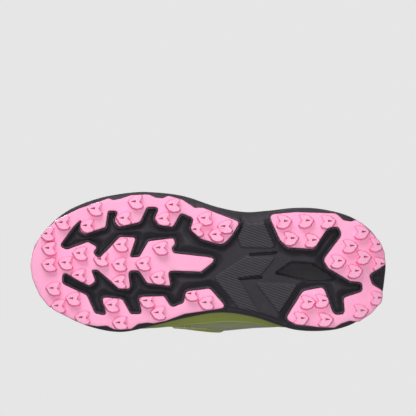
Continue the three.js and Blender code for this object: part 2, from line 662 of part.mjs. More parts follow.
// The bow and the free end on one side of the foot.
function laceEnds(side) {
  const turn = (u) => (side > 0 ? u : 1 - u);
  const rest = overlayTo + laceRadius + 2.2;
  const bow = [
    knot, upperPoint(turn(0.298), 0.98, rest + 3.5), upperPoint(turn(0.282), 0.85, rest + 2.6),
    upperPoint(turn(0.262), 0.74, rest), upperPoint(turn(0.24), 0.69, rest),
    upperPoint(turn(0.228), 0.745, rest), upperPoint(turn(0.244), 0.85, rest + 2.8),
    upperPoint(turn(0.272), 0.97, rest + 4), knot,
  ];
  const tail = [
    knot, upperPoint(turn(0.318), 0.98, rest + 3.2), upperPoint(turn(0.328), 0.87, rest + 2),
    upperPoint(turn(0.338), 0.77, rest), upperPoint(turn(0.351), 0.71, rest - 1),
    upperPoint(turn(0.366), 0.68, rest - 1),
  ];
  return { bow, tail };
}

const lateralEnds = laceEnds(1);
const medialEnds = laceEnds(-1);

function lace() {
  const first = strand(true, 0);
  const second = strand(false, 1);
  const lowest = loopTurns[0];
  const barReach = 0.075;
  const bar = [
    overEdge(lowest, lowest - barReach, 0), crossing(lowest, 1 - lowest, 0),
    overEdge(1 - lowest, 1 - lowest + barReach, 0),
  ];
  const whole = [knot, ...first.reverse(), ...bar, ...second, knot];
  const knotBall = new THREE.SphereGeometry(1, 10, 6).scale(...knotSize);
  knotBall.translate(knot.x, knot.y, knot.z);
  return geometryOf(unite([
    tube(whole, 104), solidOf(knotBall), tube(lateralEnds.bow, 20), tube(medialEnds.bow, 20),
    tube(lateralEnds.tail, 9), tube(medialEnds.tail, 9),
  ]));
}
add('lace', lace(), laceYarn);

function aglet(name, tail) {
  const end = tail[tail.length - 1];
  const direction = route(tail).getTangent(1);
  const mesh = add(name, new THREE.CylinderGeometry(laceRadius, laceRadius * 0.8, agletLength, 10), clearTip);
  mesh.quaternion.setFromUnitVectors(vector(0, -1), direction);
  mesh.position.copy(end).addScaledVector(direction, agletLength / 2 + 2 * gap);
}
aglet('aglet_lateral', lateralEnds.tail);
aglet('aglet_medial', medialEnds.tail);

// ---- Heel pull loop -----------------------------------------------------------------------------
function pullLoop() {
  const ring = (radius) => {
    const path = new THREE.Path();
    path.absarc(0, 0, radius, Math.PI, 2 * Math.PI);
    path.absarc(0, pullLoopHeight, radius, 0, Math.PI);
    path.closePath();
    return path;
  };
  const shape = new THREE.Shape(ring(pullLoopRadius).getPoints(8));
  shape.holes.push(new THREE.Path(ring(pullLoopRadius - pullLoopWall).getPoints(8).reverse()));
  const geometry = new THREE.ExtrudeGeometry(shape, { depth: pullLoopWidth, bevelEnabled: false });
  return geometry.translate(0, 0, -pullLoopWidth / 2);
}
const heelTop = openingCurve.getPoint(0.5);
const pull = add('heel_pull_loop', pullLoop(), limeFilm);
pull.quaternion.setFromRotationMatrix(
  new THREE.Matrix4().makeBasis(vector(0, 1), vector(0, 0, 1), vector(1, 0)),
);
pull.position.copy(heelTop).add(vector(0, 1, pullLoopRadius + 2 * gap));

// ---- Stand the shoe on the ground, centred over the origin --------------------------------------
const box = new THREE.Box3().setFromObject(shoe);
const centre = box.getCenter(new THREE.Vector3());
shoe.position.set(-centre.x, -centre.y, -box.min.z);
shoe.updateMatrixWorld(true);

export default shoe;
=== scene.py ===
import math

import bpy
import numpy as np
from mathutils import Matrix, Vector
from mathutils.geometry import delaunay_2d_cdt


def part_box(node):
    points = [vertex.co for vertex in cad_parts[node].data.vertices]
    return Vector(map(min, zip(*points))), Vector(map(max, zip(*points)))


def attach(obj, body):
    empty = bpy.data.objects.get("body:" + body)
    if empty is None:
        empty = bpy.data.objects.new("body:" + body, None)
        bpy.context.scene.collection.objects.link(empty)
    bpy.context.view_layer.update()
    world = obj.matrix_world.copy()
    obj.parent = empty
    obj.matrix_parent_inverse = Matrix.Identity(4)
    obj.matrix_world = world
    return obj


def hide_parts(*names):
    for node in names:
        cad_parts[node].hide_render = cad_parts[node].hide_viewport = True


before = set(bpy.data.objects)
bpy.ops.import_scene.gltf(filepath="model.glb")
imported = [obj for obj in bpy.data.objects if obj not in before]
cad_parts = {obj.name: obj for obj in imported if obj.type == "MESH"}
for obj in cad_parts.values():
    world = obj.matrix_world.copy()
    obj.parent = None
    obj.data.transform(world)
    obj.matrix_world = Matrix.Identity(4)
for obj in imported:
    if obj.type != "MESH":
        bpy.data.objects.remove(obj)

bl_info = {
    "name": "Trail Running Shoe",
    "version": (1, 0, 0),
    "blender": (4, 5, 0),
    "location": "3D View > Sidebar > Shoe",
    "description": "Builds a trail running shoe: lugged tread, foam midsole, mesh upper and lace",
    "category": "Object",
}

# ---- Sizes shared with the solid parts, in millimetres ------------------------------------------
SHOE_LENGTH = 285.0
LUG_HEIGHT = 4.0
RUBBER_THICKNESS = 2.2
FOAM_UNDER_BALL = 19.0
FOAM_UNDER_HEEL = 29.0
TOE_SPRING = 13.0
HEEL_BEVEL = 6.0
PAD_PROUD = 1.6
RECESS_DEPTH = 7.0
RIM_INSET = 2.5
LOWER_EDGE_INSET = 4.5
UPPER_INSET = RIM_INSET + 1
UPPER_THICKNESS = 2.2
GAP = 0.3
OVERLAY_GAP = 0.45
OVERLAY_THICKNESS = 1.0
BOARD_THICKNESS = 1.8
INSOLE_THICKNESS = 5.0
TONGUE_THICKNESS = 5.0
COLLAR_PADDING = 5.0
LINING_THICKNESS = 1.2
LACE_RADIUS = 1.5
LACE_CLEARANCE = 0.5
LOOP_WIDTH = 5.0
STRAP_THICKNESS = 1.0
LOOP_ROWS = 6
LOOP_V = 0.925
BAR_REACH = 0.075
PULL_LOOP_HEIGHT = 15.0
PULL_LOOP_WIDTH = 12.0
PULL_LOOP_RADIUS = 5.2
PULL_LOOP_WALL = 1.6
TAB_HEIGHT = 18.0
TAB_THICKNESS = 1.5
TAB_DROP = 2.0
TIP_RADIUS = 1.48

# Moulding details that only the visible pieces have. Heights, depths and radii are in millimetres;
# a taper, the arch's place and a groove's place and width are shares of the whole.
RUBBER_EDGE_RADIUS = 1.0
LUG_TAPER = 0.2
LUG_DRIFT = np.array([0.55, 0])
SIPE_PLACE = np.array([2, -2.6])
SIPE_DEPTH = 2.1
LIP_HEIGHT = 2.45
CREST_HEIGHT = 2.3
CREST_SLOPE = 0.62
SLOTS = (((6, 34), (7.5, 54), 1.3), ((-13, 25), (-12, 42), 1.2))
SLOT_DEPTH = 2.6
SIDE_GROOVES = ((0.46, 0.9, 0.035), (0.64, 1.1, 0.045))
WAIST_TUCK = 4.5
ARCH_SWELL, ARCH_TURN, ARCH_SPREAD = 3.4, 0.715, 0.062
# Each ring of a lace tip: how far it stands from the last one, and its width as a share of it.
TIP_PROFILE = (
    (1.2, 1.0), (0.6, 0.86), (0.7, 1.16), (4.5, 0.97), (0.6, 0.86), (0.7, 1.14),
    (4.6, 0.95), (0.6, 0.87), (0.7, 1.12), (2.9, 0.94), (0.6, 0.8), (0.3, 0.6),
)

# The shoe's drawing is centred over the origin by this move, read back from the heel loop.
_low, _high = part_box("heel_pull_loop")
SHIFT = np.array([(_low.x + _high.x) * 500 + 3, (_low.y + _high.y) * 500 - 132, 0.0])

SOLE_LINE = np.array([
    [-3, -142.5], [12, -140], [27, -129.5], [40.5, -114], [51, -88.5], [56, -60], [56, -44],
    [53, -20], [44, 8], [40, 30], [41, 47], [43.5, 70], [42.5, 91], [35.5, 116], [22, 133.5],
    [1, 142.5], [-13.5, 142], [-26.5, 139.5], [-37, 132.5], [-47.5, 120], [-53.5, 105],
    [-55.5, 87], [-54.5, 70], [-51, 57], [-45, 39], [-41, 18], [-41, 4], [-45, -19],
    [-51.5, -46], [-56, -70], [-52, -94], [-43.5, -114], [-32, -130.5], [-18.5, -139.5],
], float)

FOREFOOT_CORNERS = [
    [32, 25.5, 2.5], [43.5, -4, 4], [43.5, -10.5, 4], [50, -20.5, 6.5], [53, -31.5, 2.5],
    [51, -36, 2.5], [51.5, -41.5, 3], [54, -47, 5], [53.5, -61, 5], [50.5, -70, 5],
    [49.5, -75.5, 2.5], [51, -79, 3], [42.5, -103.5, 16], [34, -121, 12], [20, -135, 9.5],
    [7.5, -141, 8], [-3, -142.5, 6.5], [-13, -141, 8], [-26.5, -135, 9.5], [-35.5, -127.5, 6.5],
    [-43, -114, 16], [-49.5, -98.5, 6.5], [-51, -88, 5], [-50.5, -80.5, 4], [-53.5, -74.5, 4],
    [-53, -61, 3], [-49, -55.5, 3], [-48, -48.5, 3], [-48.5, -43, 3], [-46.5, -33.5, 6.5],
    [-41, -18.5, 6.5], [-36, 15, 3], [-20.5, 1.5, 4], [-23, -17.5, 4], [-32, -19.5, 3],
    [-36, -29, 4], [-26.5, -35, 3], [-27.5, -55.5, 3], [-41, -52.5, 2.5], [-41, -61.5, 2.5],
    [-29, -68, 4], [-27.5, -85, 3], [-42.5, -80.5, 2.5], [-40.5, -90, 3], [-26, -96.5, 5],
    [-17, -116.5, 3.5], [-7.5, -116, 3.5], [-19, -94.5, 4], [-15, -89.5, 2.5], [-6, -93, 3],
    [-6, -88, 3], [-20.5, -71, 3], [-21.5, -61.5, 3], [-6.5, -63.5, 3.5], [-6.5, -55, 3.5],
    [-16.5, -48.5, 4], [-19, -29.5, 2], [-6.5, -32, 3.5], [-7.5, -5.5, 3], [3.5, 8.5, 3.5],
    [7.5, -27.5, 3.5], [11.5, -29, 2.5], [14.5, -26, 2.5], [19.5, -27, 3], [17, -47.5, 2.5],
    [4.5, -54.5, 3], [4, -62.5, 2], [20, -57, 2.5], [20.5, -70, 2.5], [2.5, -87, 3.5],
    [8, -91.5, 2.5], [12, -88, 2], [16.5, -95.5, 3], [10, -113, 5], [13, -118.5, 3],
    [27.5, -108, 6.5], [34.5, -101, 1], [24.5, -102, 2.5], [22.5, -98, 2.5], [28, -81.5, 2],
    [41, -79.5, 2], [41, -71, 2.5], [33.5, -74.5, 3], [28, -71.5, 4], [32, -54, 4],
    [44, -48.5, 3], [44, -38.5, 3], [34, -43, 3], [30, -39.5, 4], [28, -28, 3],
    [39.5, -21.5, 3], [35, -11.5, 3], [26, -14, 4], [18.5, -5.5, 9.5], [13.5, 12, 11],
    [22, 19.5, 8],
]
HEEL_CORNERS = [
    [38, 48, 4], [40, 70, 16], [39, 102, 6.5], [33.5, 108, 4], [32.5, 114, 4], [34, 118.5, 3],
    [27.5, 127, 9.5], [16.5, 137, 9.5], [8, 141, 6.5], [-1.5, 141.5, 2.5], [-10, 128.5, 3],
    [-17.5, 131, 5], [-22.5, 139.5, 4], [-31.5, 138.5, 6.5], [-40.5, 130.5, 8], [-47.5, 120, 4],
    [-46.5, 113, 4], [-48.5, 106.5, 4], [-52, 100.5, 3], [-51.5, 87.5, 12], [-49, 69, 6.5],
    [-45, 61.5, 4], [-22.5, 75.5, 5.5], [-19.5, 92, 4], [-41.5, 100, 5], [-41.5, 109, 5],
    [-28, 107.5, 3], [-23, 123, 3.5], [-16, 122.5, 3], [-15, 113, 4], [-4.5, 95.5, 4],
    [2, 91.5, 4], [22, 106.5, 5], [28.5, 103.5, 3.5], [27.5, 95.5, 4], [10.5, 84, 3],
    [12, 62.5, 5], [18, 57, 5],
]
PAD_CORNERS = [
    [[32.5, 29, 2], [33, 44.5, 2], [13, 53.5, 2], [11, 50.5, 2], [11.5, 26, 2], [20, 23, 2]],
    [[4, 54.5, 2], [5.5, 31, 3], [-12, 4, 3], [-40, 27, 3], [-43, 43, 2], [-12.5, 25, 1],
     [-10.5, 42, 2]],
    [[-15.5, 37, 2], [-17.5, 72, 2], [-41, 56.5, 2]],
]
RECESS_CORNERS = [[-9, 51.5, 2], [1, 66.5, 4], [0, 83, 4], [-15.5, 108, 4], [-16, 80, 4]]
FOREFOOT_LUGS = [
    [41, -88.5], [46.5, -56], [44, -26.5], [33.5, -1], [27, 15], [27.5, -95], [33.5, -65.5],
    [30, -114.5], [21, -127], [9.5, -125.5], [5.5, -100.5], [-3.5, -125.5], [12.5, -68],
    [10, -36.5], [-3, -69], [-2.5, -50], [-12, -101.5], [-17, -69.5], [-13.5, -38.5],
    [-22.5, -122], [-30.5, -106], [-36.5, -118], [-35.5, -75], [-45.5, -98.5], [-49.5, -68.5],
    [-41.5, -38], [-33.5, 0], [-2, -112], [1, -83.5], [-32, -47], [-26.5, -12], [33, -34.5],
    [24.5, -8], [20.5, 8],
]
HEEL_LUGS = [
    [31, 59], [31.5, 76.5], [31, 94], [17.5, 64.5], [16, 81.5], [22.5, 121], [12.5, 133],
    [11.5, 111.5], [2.5, 122.5], [-0.5, 102], [-3, 136], [-8.5, 115.5], [-30, 134], [-40, 120],
    [-33, 78], [-32, 89.5], [-46, 72.5], [-47, 92],
]
LUG_OUTLINE = [
    [1.2, -8.2, 1], [2.5, -8.2, 1], [6, -4.2, 3], [7.5, 1.8, 2], [6.5, 4.8, 0.8], [1.6, 1.6, 0.8],
    [-2, 5.3, 0.8], [-4.4, 3.8, 1.5], [-5.2, -1.2, 3], [-3.6, -5.2, 3],
]
SIPE_OUTLINE = [[2, -5.8, 0.2], [3.1, -1.1, 0.2], [0.9, -1.1, 0.2]]

# Sections of the upper round the foot: the opening's edge and the two handles below it.
OPENING = np.array([
    [-2, -58, 66], [8, -56, 66.5], [16, -44, 69], [21, -22, 76], [25, 6, 85], [29, 38, 93],
    [32, 80, 82], [26, 112, 84], [-3, 131, 97], [-31, 116, 85], [-38, 84, 82], [-34, 42, 92],
    [-29, 8, 85], [-24, -20, 76], [-18, -44, 69], [-12, -56, 66.5],
], float)
LOW_HANDLES = np.array([
    [2, 30], [3, 28], [1, 26], [0, 26], [-2, 26], [-2, 22], [0, 16], [3, 16], [5, 18], [3, 16],
    [0, 16], [17, 18], [27, 18], [14, 19], [2, 24], [3, 28],
], float)
HIGH_HANDLES = np.array([
    [46, -3], [38, -4], [24, -6], [20, -8], [14, -12], [6, -18], [2, -12], [-1, -14], [-3, -18],
    [0, -14], [4, -14], [22, -22], [32, -18], [30, -11], [26, -6], [36, -4],
], float)
TONGUE_LINE = np.array([
    [14, -66, 60.6], [17, -52, 65], [21, -40, 69.5], [24, -22, 76.5], [26, 6, 86.5],
    [26, 36, 96.5], [24, 54, 107.5], [19, 64, 118.5],
], float)


# ---- Plain arithmetic ---------------------------------------------------------------------------
def smooth(x, low, high):
    t = np.clip((x - low) / (high - low), 0, 1)
    return t * t * (3 - 2 * t)


def mix(a, b, t):
    return a + (b - a) * t


def unit(v):
    return v / np.maximum(np.linalg.norm(v, axis=-1, keepdims=True), 1e-9)


def spline(points, t, closed=True, centripetal=False):
    """Points of a Catmull-Rom curve at t, from 0 to 1 along the whole curve."""
    pts = np.asarray(points, float)
    count = len(pts)
    t = np.asarray(t, float)
    place = np.mod(t, 1.0) * count if closed else np.clip(t, 0, 1) * (count - 1)
    first = np.floor(place).astype(int)
    if closed:
        p0, p1, p2, p3 = (pts[(first + k) % count] for k in (-1, 0, 1, 2))
    else:
        first = np.minimum(first, count - 2)
        longer = np.concatenate([[2 * pts[0] - pts[1]], pts, [2 * pts[-1] - pts[-2]]])
        p0, p1, p2, p3 = (longer[first + k] for k in (0, 1, 2, 3))
    w = (place - first).reshape(place.shape + (1,) * (pts.ndim - 1))
    if centripetal:
        step = lambda a, b: np.maximum(np.sqrt(np.linalg.norm(b - a, axis=-1, keepdims=True)), 1e-4)
        d0, d1, d2 = step(p0, p1), step(p1, p2), step(p2, p3)
        m1 = ((p1 - p0) / d0 - (p2 - p0) / (d0 + d1) + (p2 - p1) / d1) * d1
        m2 = ((p2 - p1) / d1 - (p3 - p1) / (d1 + d2) + (p3 - p2) / d2) * d1
    else:
        m1, m2 = (p2 - p0) * 0.5, (p3 - p1) * 0.5
    w2, w3 = w * w, w * w * w
    return (p1 * (2 * w3 - 3 * w2 + 1) + p2 * (3 * w2 - 2 * w3)
            + m1 * (w3 - 2 * w2 + w) + m2 * (w3 - w2))


def rounded_outline(corners, steps=4, longest=None):
    """A closed outline with each corner [x, y, radius] rounded, and no side longer than longest."""
    pts = np.array([c[:2] for c in corners], float)
    line = []
    for k, corner in enumerate(pts):
        back = pts[k - 1] - corner
        ahead = pts[(k + 1) % len(pts)] - corner
        lengths = np.linalg.norm(back), np.linalg.norm(ahead)
        cosine = np.clip(back @ ahead / (lengths[0] * lengths[1]), -1, 1)
        half = max(math.acos(cosine) / 2, 0.01)
        trim = min(corners[k][2] / math.tan(half), lengths[0] * 0.48, lengths[1] * 0.48)
        start = corner + back / lengths[0] * trim
        finish = corner + ahead / lengths[1] * trim
        for t in np.linspace(0, 1, steps + 1):
            line.append((1 - t) ** 2 * start + 2 * t * (1 - t) * corner + t * t * finish)
    line = np.array(line)
    if longest is None:
        return line
    fine = []
    for a, b in zip(line, np.roll(line, -1, 0)):
        parts = max(int(math.ceil(np.linalg.norm(b - a) / longest)), 1)
        fine.extend(a + (b - a) * k / parts for k in range(parts))
    return np.array(fine)


def signed_area(loop):
    x, y = loop.T
    return (x * np.roll(y, -1) - np.roll(x, -1) * y).sum() / 2


def offset_outline(loop, distance):
    """The outline moved outwards by distance."""
    way = unit(np.roll(loop, -1, 0) - np.roll(loop, 1, 0))
    turn = 1 if signed_area(loop) > 0 else -1
    return loop + turn * distance * np.stack([way[:, 1], -way[:, 0]], 1)


def outline_distance(points, loop):
    """Distance from each point to a closed outline, positive inside it."""
    a, b = loop, np.roll(loop, -1, 0)
    side = b - a
    square = np.maximum((side ** 2).sum(1), 1e-9)
    found = np.empty(len(points))
    for start in range(0, len(points), 4000):
        p = points[start:start + 4000, None, :]
        t = np.clip(((p - a) * side).sum(2) / square, 0, 1)
        gone = np.sqrt((((a + t[..., None] * side) - p) ** 2).sum(2).min(1))
        crosses = (a[:, 1] > p[..., 1]) != (b[:, 1] > p[..., 1])
        rise = np.where(side[:, 1] == 0, 1e-9, side[:, 1])
        at_x = a[:, 0] + (p[..., 1] - a[:, 1]) / rise * side[:, 0]
        inside = (crosses & (p[..., 0] < at_x)).sum(1) % 2 == 1
        found[start:start + 4000] = np.where(inside, gone, -gone)
    return found


def gauge(points, loop):
    """How far out a point lies in a star-shaped outline: 0 at its middle, 1 on its edge."""
    angles = np.arctan2(loop[:, 1], loop[:, 0])
    order = np.argsort(angles)
    ring, angles = loop[order], angles[order]
    at = np.searchsorted(angles, np.arctan2(points[:, 1], points[:, 0])) % len(ring)
    a, b = ring[at - 1], ring[at]
    cross = lambda p, q: p[:, 0] * q[:, 1] - p[:, 1] * q[:, 0]
    bottom = cross(a, b - a)
    return np.abs(cross(points, b - a) / np.where(np.abs(bottom) < 1e-6, 1e-6, bottom))


# ---- Heights of the sole's layers along the shoe ------------------------------------------------
TOE_Y, HEEL_Y = -SHOE_LENGTH / 2, SHOE_LENGTH / 2


def ground_lift(y):
    toe = TOE_SPRING * (np.clip(-60 - y, 0, None) / (-60 - TOE_Y)) ** 2
    return toe + HEEL_BEVEL * (np.clip(y - 98, 0, None) / (HEEL_Y - 98)) ** 2


def tread_root(y):
    return ground_lift(y) + LUG_HEIGHT


def rubber_top(y):
    return tread_root(y) + RUBBER_THICKNESS


def foam_bottom(y):
    return rubber_top(y) + GAP


def foam_top(y):
    depth = mix(FOAM_UNDER_BALL, FOAM_UNDER_HEEL, smooth(y, -60, 60))
    return foam_bottom(y) - 3 * smooth(-y, 60, -TOE_Y) + depth


# ---- The line round the sole and the surface of the upper ---------------------------------------
EDGE_T = np.linspace(0, 1, 801)
_edge_points = spline(SOLE_LINE, EDGE_T, True, True)
EDGE_RUN = np.concatenate([[0], np.cumsum(np.linalg.norm(np.diff(_edge_points, axis=0), axis=1))])


def sole_edge(u, inset=0.0):
    """The point of the sole's widest line at u, moved in by inset, and the way out there."""
    t = np.interp(np.mod(u, 1.0) * EDGE_RUN[-1], EDGE_RUN, EDGE_T)
    way = unit(spline(SOLE_LINE, t + 1e-4, True, True) - spline(SOLE_LINE, t - 1e-4, True, True))
    out = np.stack([way[..., 1], -way[..., 0]], -1)
    inset = np.asarray(inset, float)
    return spline(SOLE_LINE, t, True, True) - out * (inset[..., None] if inset.ndim else inset), out


def upper_surface(u, v):
    """The outer face of the upper; u runs round the foot, v from the midsole to the opening."""
    u, v = np.broadcast_arrays(np.asarray(u, float), np.asarray(v, float))
    edge, out = sole_edge(u, UPPER_INSET)
    base = np.concatenate([edge, (foam_top(edge[..., 1]) + GAP)[..., None]], -1)
    out = np.concatenate([out, np.zeros_like(out[..., :1])], -1)
    up = np.array([0, 0, 1.0])
    low, high, end = spline(LOW_HANDLES, u), spline(HIGH_HANDLES, u), spline(OPENING, u)
    first = base + out * low[..., :1] + up * low[..., 1:]
    second = end + out * high[..., :1] + up * high[..., 1:]
    w = v[..., None]
    place = ((1 - w) ** 3 * base + 3 * w * (1 - w) ** 2 * first
             + 3 * w * w * (1 - w) * second + w ** 3 * end)
    # The cloth swells over the arch, on the inner side of the waist.
    swell = ARCH_SWELL * np.exp(-((np.mod(u, 1) - ARCH_TURN) / ARCH_SPREAD) ** 2)
    swell = swell * np.sin(np.pi * np.clip(v * 1.5, 0, 1)) ** 2
    return place + out * swell[..., None]


def upper_axes(u, v):
    step = 0.004
    u, v = np.broadcast_arrays(np.asarray(u, float), np.asarray(v, float))
    along = unit(upper_surface(u + step, v) - upper_surface(u - step, v))
    across = upper_surface(u, np.minimum(v + step, 1)) - upper_surface(u, np.maximum(v - step, 0))
    across = unit(across)
    out = unit(np.cross(along, across))
    return along, np.cross(out, along), out


def upper_point(u, v, offset):
    offset = np.broadcast_to(np.asarray(offset, float), np.broadcast(u, v).shape)
    return upper_surface(u, v) + upper_axes(u, v)[2] * offset[..., None]


# ---- Making objects -----------------------------------------------------------------------------
def show_object(mesh, name, finish, body, stands_for=(), smooth_angle=None):
    """Puts a finished mesh into the scene on its body, with its material."""
    piece = bpy.data.objects.new(name, mesh)
    bpy.context.scene.collection.objects.link(piece)
    mesh.materials.clear()
    mesh.materials.append(finish)
    finish_piece(piece, body, stands_for, smooth_angle)
    return piece


def finish_piece(piece, body, stands_for=(), smooth_angle=None):
    angle = 180 if smooth_angle is None else smooth_angle
    select_only(piece)
    bpy.ops.object.shade_smooth_by_angle(angle=math.radians(angle))
    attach(piece, body)
    if stands_for:
        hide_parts(*stands_for)


def select_only(piece):
    if bpy.context.object and bpy.context.object.mode != "OBJECT":
        bpy.ops.object.mode_set(mode="OBJECT")
    bpy.ops.object.select_all(action="DESELECT")
    piece.select_set(True)
    bpy.context.view_layer.objects.active = piece


def make_mesh(name, points_mm, faces, lay=None):
    """A mesh in metres from points in millimetres; lay gives materials three numbers a point."""
    mesh = bpy.data.meshes.new(name)
    points = (np.asarray(points_mm) + SHIFT) / 1000
    mesh.from_pydata(points.tolist(), [], [list(map(int, f)) for f in faces])
    mesh.validate()
    if lay is not None:
        set_lay(mesh, lay)
    return mesh


def set_lay(mesh, lay):
    held = mesh.attributes.get("lay") or mesh.attributes.new("lay", "FLOAT_VECTOR", "POINT")
    held.data.foreach_set("vector", np.asarray(lay, np.float32).ravel())


def mesh_points(mesh):
    co = np.empty(len(mesh.vertices) * 3)
    mesh.vertices.foreach_get("co", co)
    return co.reshape(-1, 3)


def set_points(mesh, points):
    mesh.vertices.foreach_set("co", np.asarray(points, float).ravel())
    mesh.update()


def triangulate_plan(outline, inner_loops, scattered):
    """Triangles that fill an outline, using the inner loops as sides, and the scattered points."""
    edges = []
    start = 0
    for loop in [outline, *inner_loops]:
        count = len(loop)
        edges.extend((start + k, start + (k + 1) % count) for k in range(count))
        start += count
    coords = np.vstack([outline, *inner_loops, *([scattered] if len(scattered) else [])])
    points, _, faces, *_ = delaunay_2d_cdt([Vector(p) for p in coords], edges, [], 1, 1e-4, False)
    points = np.array([tuple(p) for p in points])
    faces = np.array([f for f in faces if len(f) == 3])
    # Triangles across the hollows of the outline are dropped, with the points that only they used.
    faces = faces[outline_distance(points[faces].mean(1), outline) > 0]
    used, faces = np.unique(faces, return_inverse=True)
    return points[used], faces.reshape(-1, 3)


def rim_of(faces):
    """The vertices round a patch of triangles, in order."""
    count = {}
    for a, b, c in faces:
        for e in ((a, b), (b, c), (c, a)):
            count[e] = count.get(e, 0) + 1
    follows = {a: b for a, b in count if (b, a) not in count}
    loops = []
    while follows:
        start, nxt = follows.popitem()
        loop = [start]
        while nxt != start:
            loop.append(nxt)
            nxt = follows.pop(nxt)
        loops.append(loop)
    return max(loops, key=len)


def grid_points(loop, step, keep_off=0.0):
    """A grid of points inside an outline, kept off its edge."""
    low, high = loop.min(0), loop.max(0)
    xs, ys = np.arange(low[0], high[0], step), np.arange(low[1], high[1], step)
    rows = np.array([(x + (step / 2 if k % 2 else 0), y) for k, y in enumerate(ys) for x in xs])
    return rows[outline_distance(rows, loop) > max(keep_off, step * 0.35)]


def close_below(points, faces, z_top):
    """Walls and a lid that close a patch facing down: the rim goes straight up to z_top."""
    rim = rim_of(faces)
    lid_outline = points[rim][:, :2]
    lid_xy, lid_faces = triangulate_plan(lid_outline, [], grid_points(lid_outline, 9))
    total = len(points)
    lid = np.column_stack([lid_xy, z_top(lid_xy[:, 1])])
    # The lid keeps its outline's points first, in the same order.
    walls = []
    for k, at in enumerate(rim):
        nxt = (k + 1) % len(rim)
        walls.append((rim[nxt], at, total + k, total + nxt))
    down = [tuple(reversed(f)) for f in faces]
    up = [tuple(total + i for i in f) for f in lid_faces]
    turned = [tuple(reversed(w)) for w in walls]
    return np.vstack([points, lid]), down + turned + up


def sheet_of_rubber(corners, lugs, pointing):
    """A rubber sheet with its lugs as one closed mesh, and what its material needs to know."""
    outline = rounded_outline(corners, 4, 1.6)
    profile = rounded_outline(LUG_OUTLINE, 3)
    sipe = rounded_outline(SIPE_OUTLINE, 1) - SIPE_PLACE
    flip = np.array([1, pointing])
    loops = [offset_outline(outline, -0.45), offset_outline(outline, -1.0)]
    for place in np.array(lugs, float):
        for climb in (0.0, 0.12, 0.8, 1.0, 1.35):
            loops.append(place + (profile * (1 - LUG_TAPER * climb) + LUG_DRIFT * climb) * flip)
        loops.extend(place + (sipe * size + SIPE_PLACE) * flip for size in (1.0, 0.45))
    kept = []
    for loop in loops[2:]:
        if outline_distance(loop, outline).max() > 0.3:
            kept.append(loop)
    xy, faces = triangulate_plan(outline, loops[:2] + kept, grid_points(outline, 3.2, 1.3))
    y = xy[:, 1]
    inside = np.clip(outline_distance(xy, outline), 0, None)
    raised, wall, pit = np.zeros(len(xy)), np.zeros(len(xy)), np.zeros(len(xy))
    for place in np.array(lugs, float):
        near = np.linalg.norm(xy - place, axis=1) < 11
        local = (xy[near] - place) * flip
        climb = np.full(len(local), 0.5)
        for _ in range(5):
            reached = 1 - gauge(local - LUG_DRIFT * climb[:, None], profile)
            climb = np.clip(reached / LUG_TAPER, 0, 1)
        share = 1 - (1 - climb) ** 1.3
        raised[near] = np.maximum(raised[near], share)
        # Lug walls are marked here for painted shade in the material.
        wall[near] = np.maximum(wall[near], (climb > 0.04) * (climb < 0.96))
        sunk = np.clip((1 - gauge(local - SIPE_PLACE, sipe)) / 0.5, 0, 1)
        pit[near] = np.maximum(pit[near], sunk)
    short = np.clip(RUBBER_EDGE_RADIUS - inside, 0, None)
    rounding = RUBBER_EDGE_RADIUS - np.sqrt(np.clip(RUBBER_EDGE_RADIUS ** 2 - short ** 2, 0, None))
    z = tread_root(y) - LUG_HEIGHT * raised + rounding + SIPE_DEPTH * pit
    points = np.column_stack([xy, np.minimum(z, rubber_top(y) - 0.05)])
    # The sheet's rounded edge is marked for the same painted shade.
    rim_shade = np.clip(1 - inside / 0.8, 0, 1)
    total_points, all_faces = close_below(points, faces, rubber_top)
    lay = np.zeros((len(total_points), 3))
    lay[:, 0] = 1
    # The lay holds the painted shade of the walls, the painted shade of the sipe pits, and how far
    # a lug rises.
    lay[:len(points)] = np.column_stack([np.maximum(wall, rim_shade), pit, raised])
    return total_points, all_faces, lay


# ---- Foam midsole -------------------------------------------------------------------------------
def waist_tuck(point):
    return np.where(point[..., 0] > 0, WAIST_TUCK * np.exp(-((point[..., 1] - 38) / 17) ** 2), 0)


def foam_walls(columns, rows):
    """Points of the foam's side, [row, column], from its bottom edge up to its rim."""
    u = np.arange(columns) / columns

    def ring(inset, height, tucked):
        point, _ = sole_edge(u, inset)
        if tucked:
            point, _ = sole_edge(u, inset + waist_tuck(point))
        return np.column_stack([point, height(point[:, 1])])

    flare = lambda y: mix(foam_bottom(y), foam_top(y), 0.38)
    rings = np.array([
        ring(LOWER_EDGE_INSET, foam_bottom, True),
        ring(LOWER_EDGE_INSET * 0.3, lambda y: foam_bottom(y) + 2.5, True),
        ring(0, flare, False),
        ring(RIM_INSET * 0.4, lambda y: foam_top(y) - 4, False),
        ring(RIM_INSET, foam_top, False),
    ])
    share = np.linspace(0, 1, rows)
    wall = spline(rings, share, False)
    out = np.column_stack([sole_edge(u)[1], np.zeros(columns)])
    # Two long shallow grooves run along each side and fade at the toe and the heel.
    side = smooth(np.abs(np.sin(2 * np.pi * u)), 0.25, 0.6)
    for k, s in enumerate(share):
        wave = 0.035 * np.sin(2 * np.pi * u * 2 + 0.6)
        cut = np.zeros(columns)
        for at, deep, wide in SIDE_GROOVES:
            cut += deep * np.exp(-((s - at - wave) / wide) ** 2) * side
        cut += 0.45 * np.exp(-((s - 0.83) / 0.02) ** 2)
        wall[k] -= out * cut[:, None]
    return wall


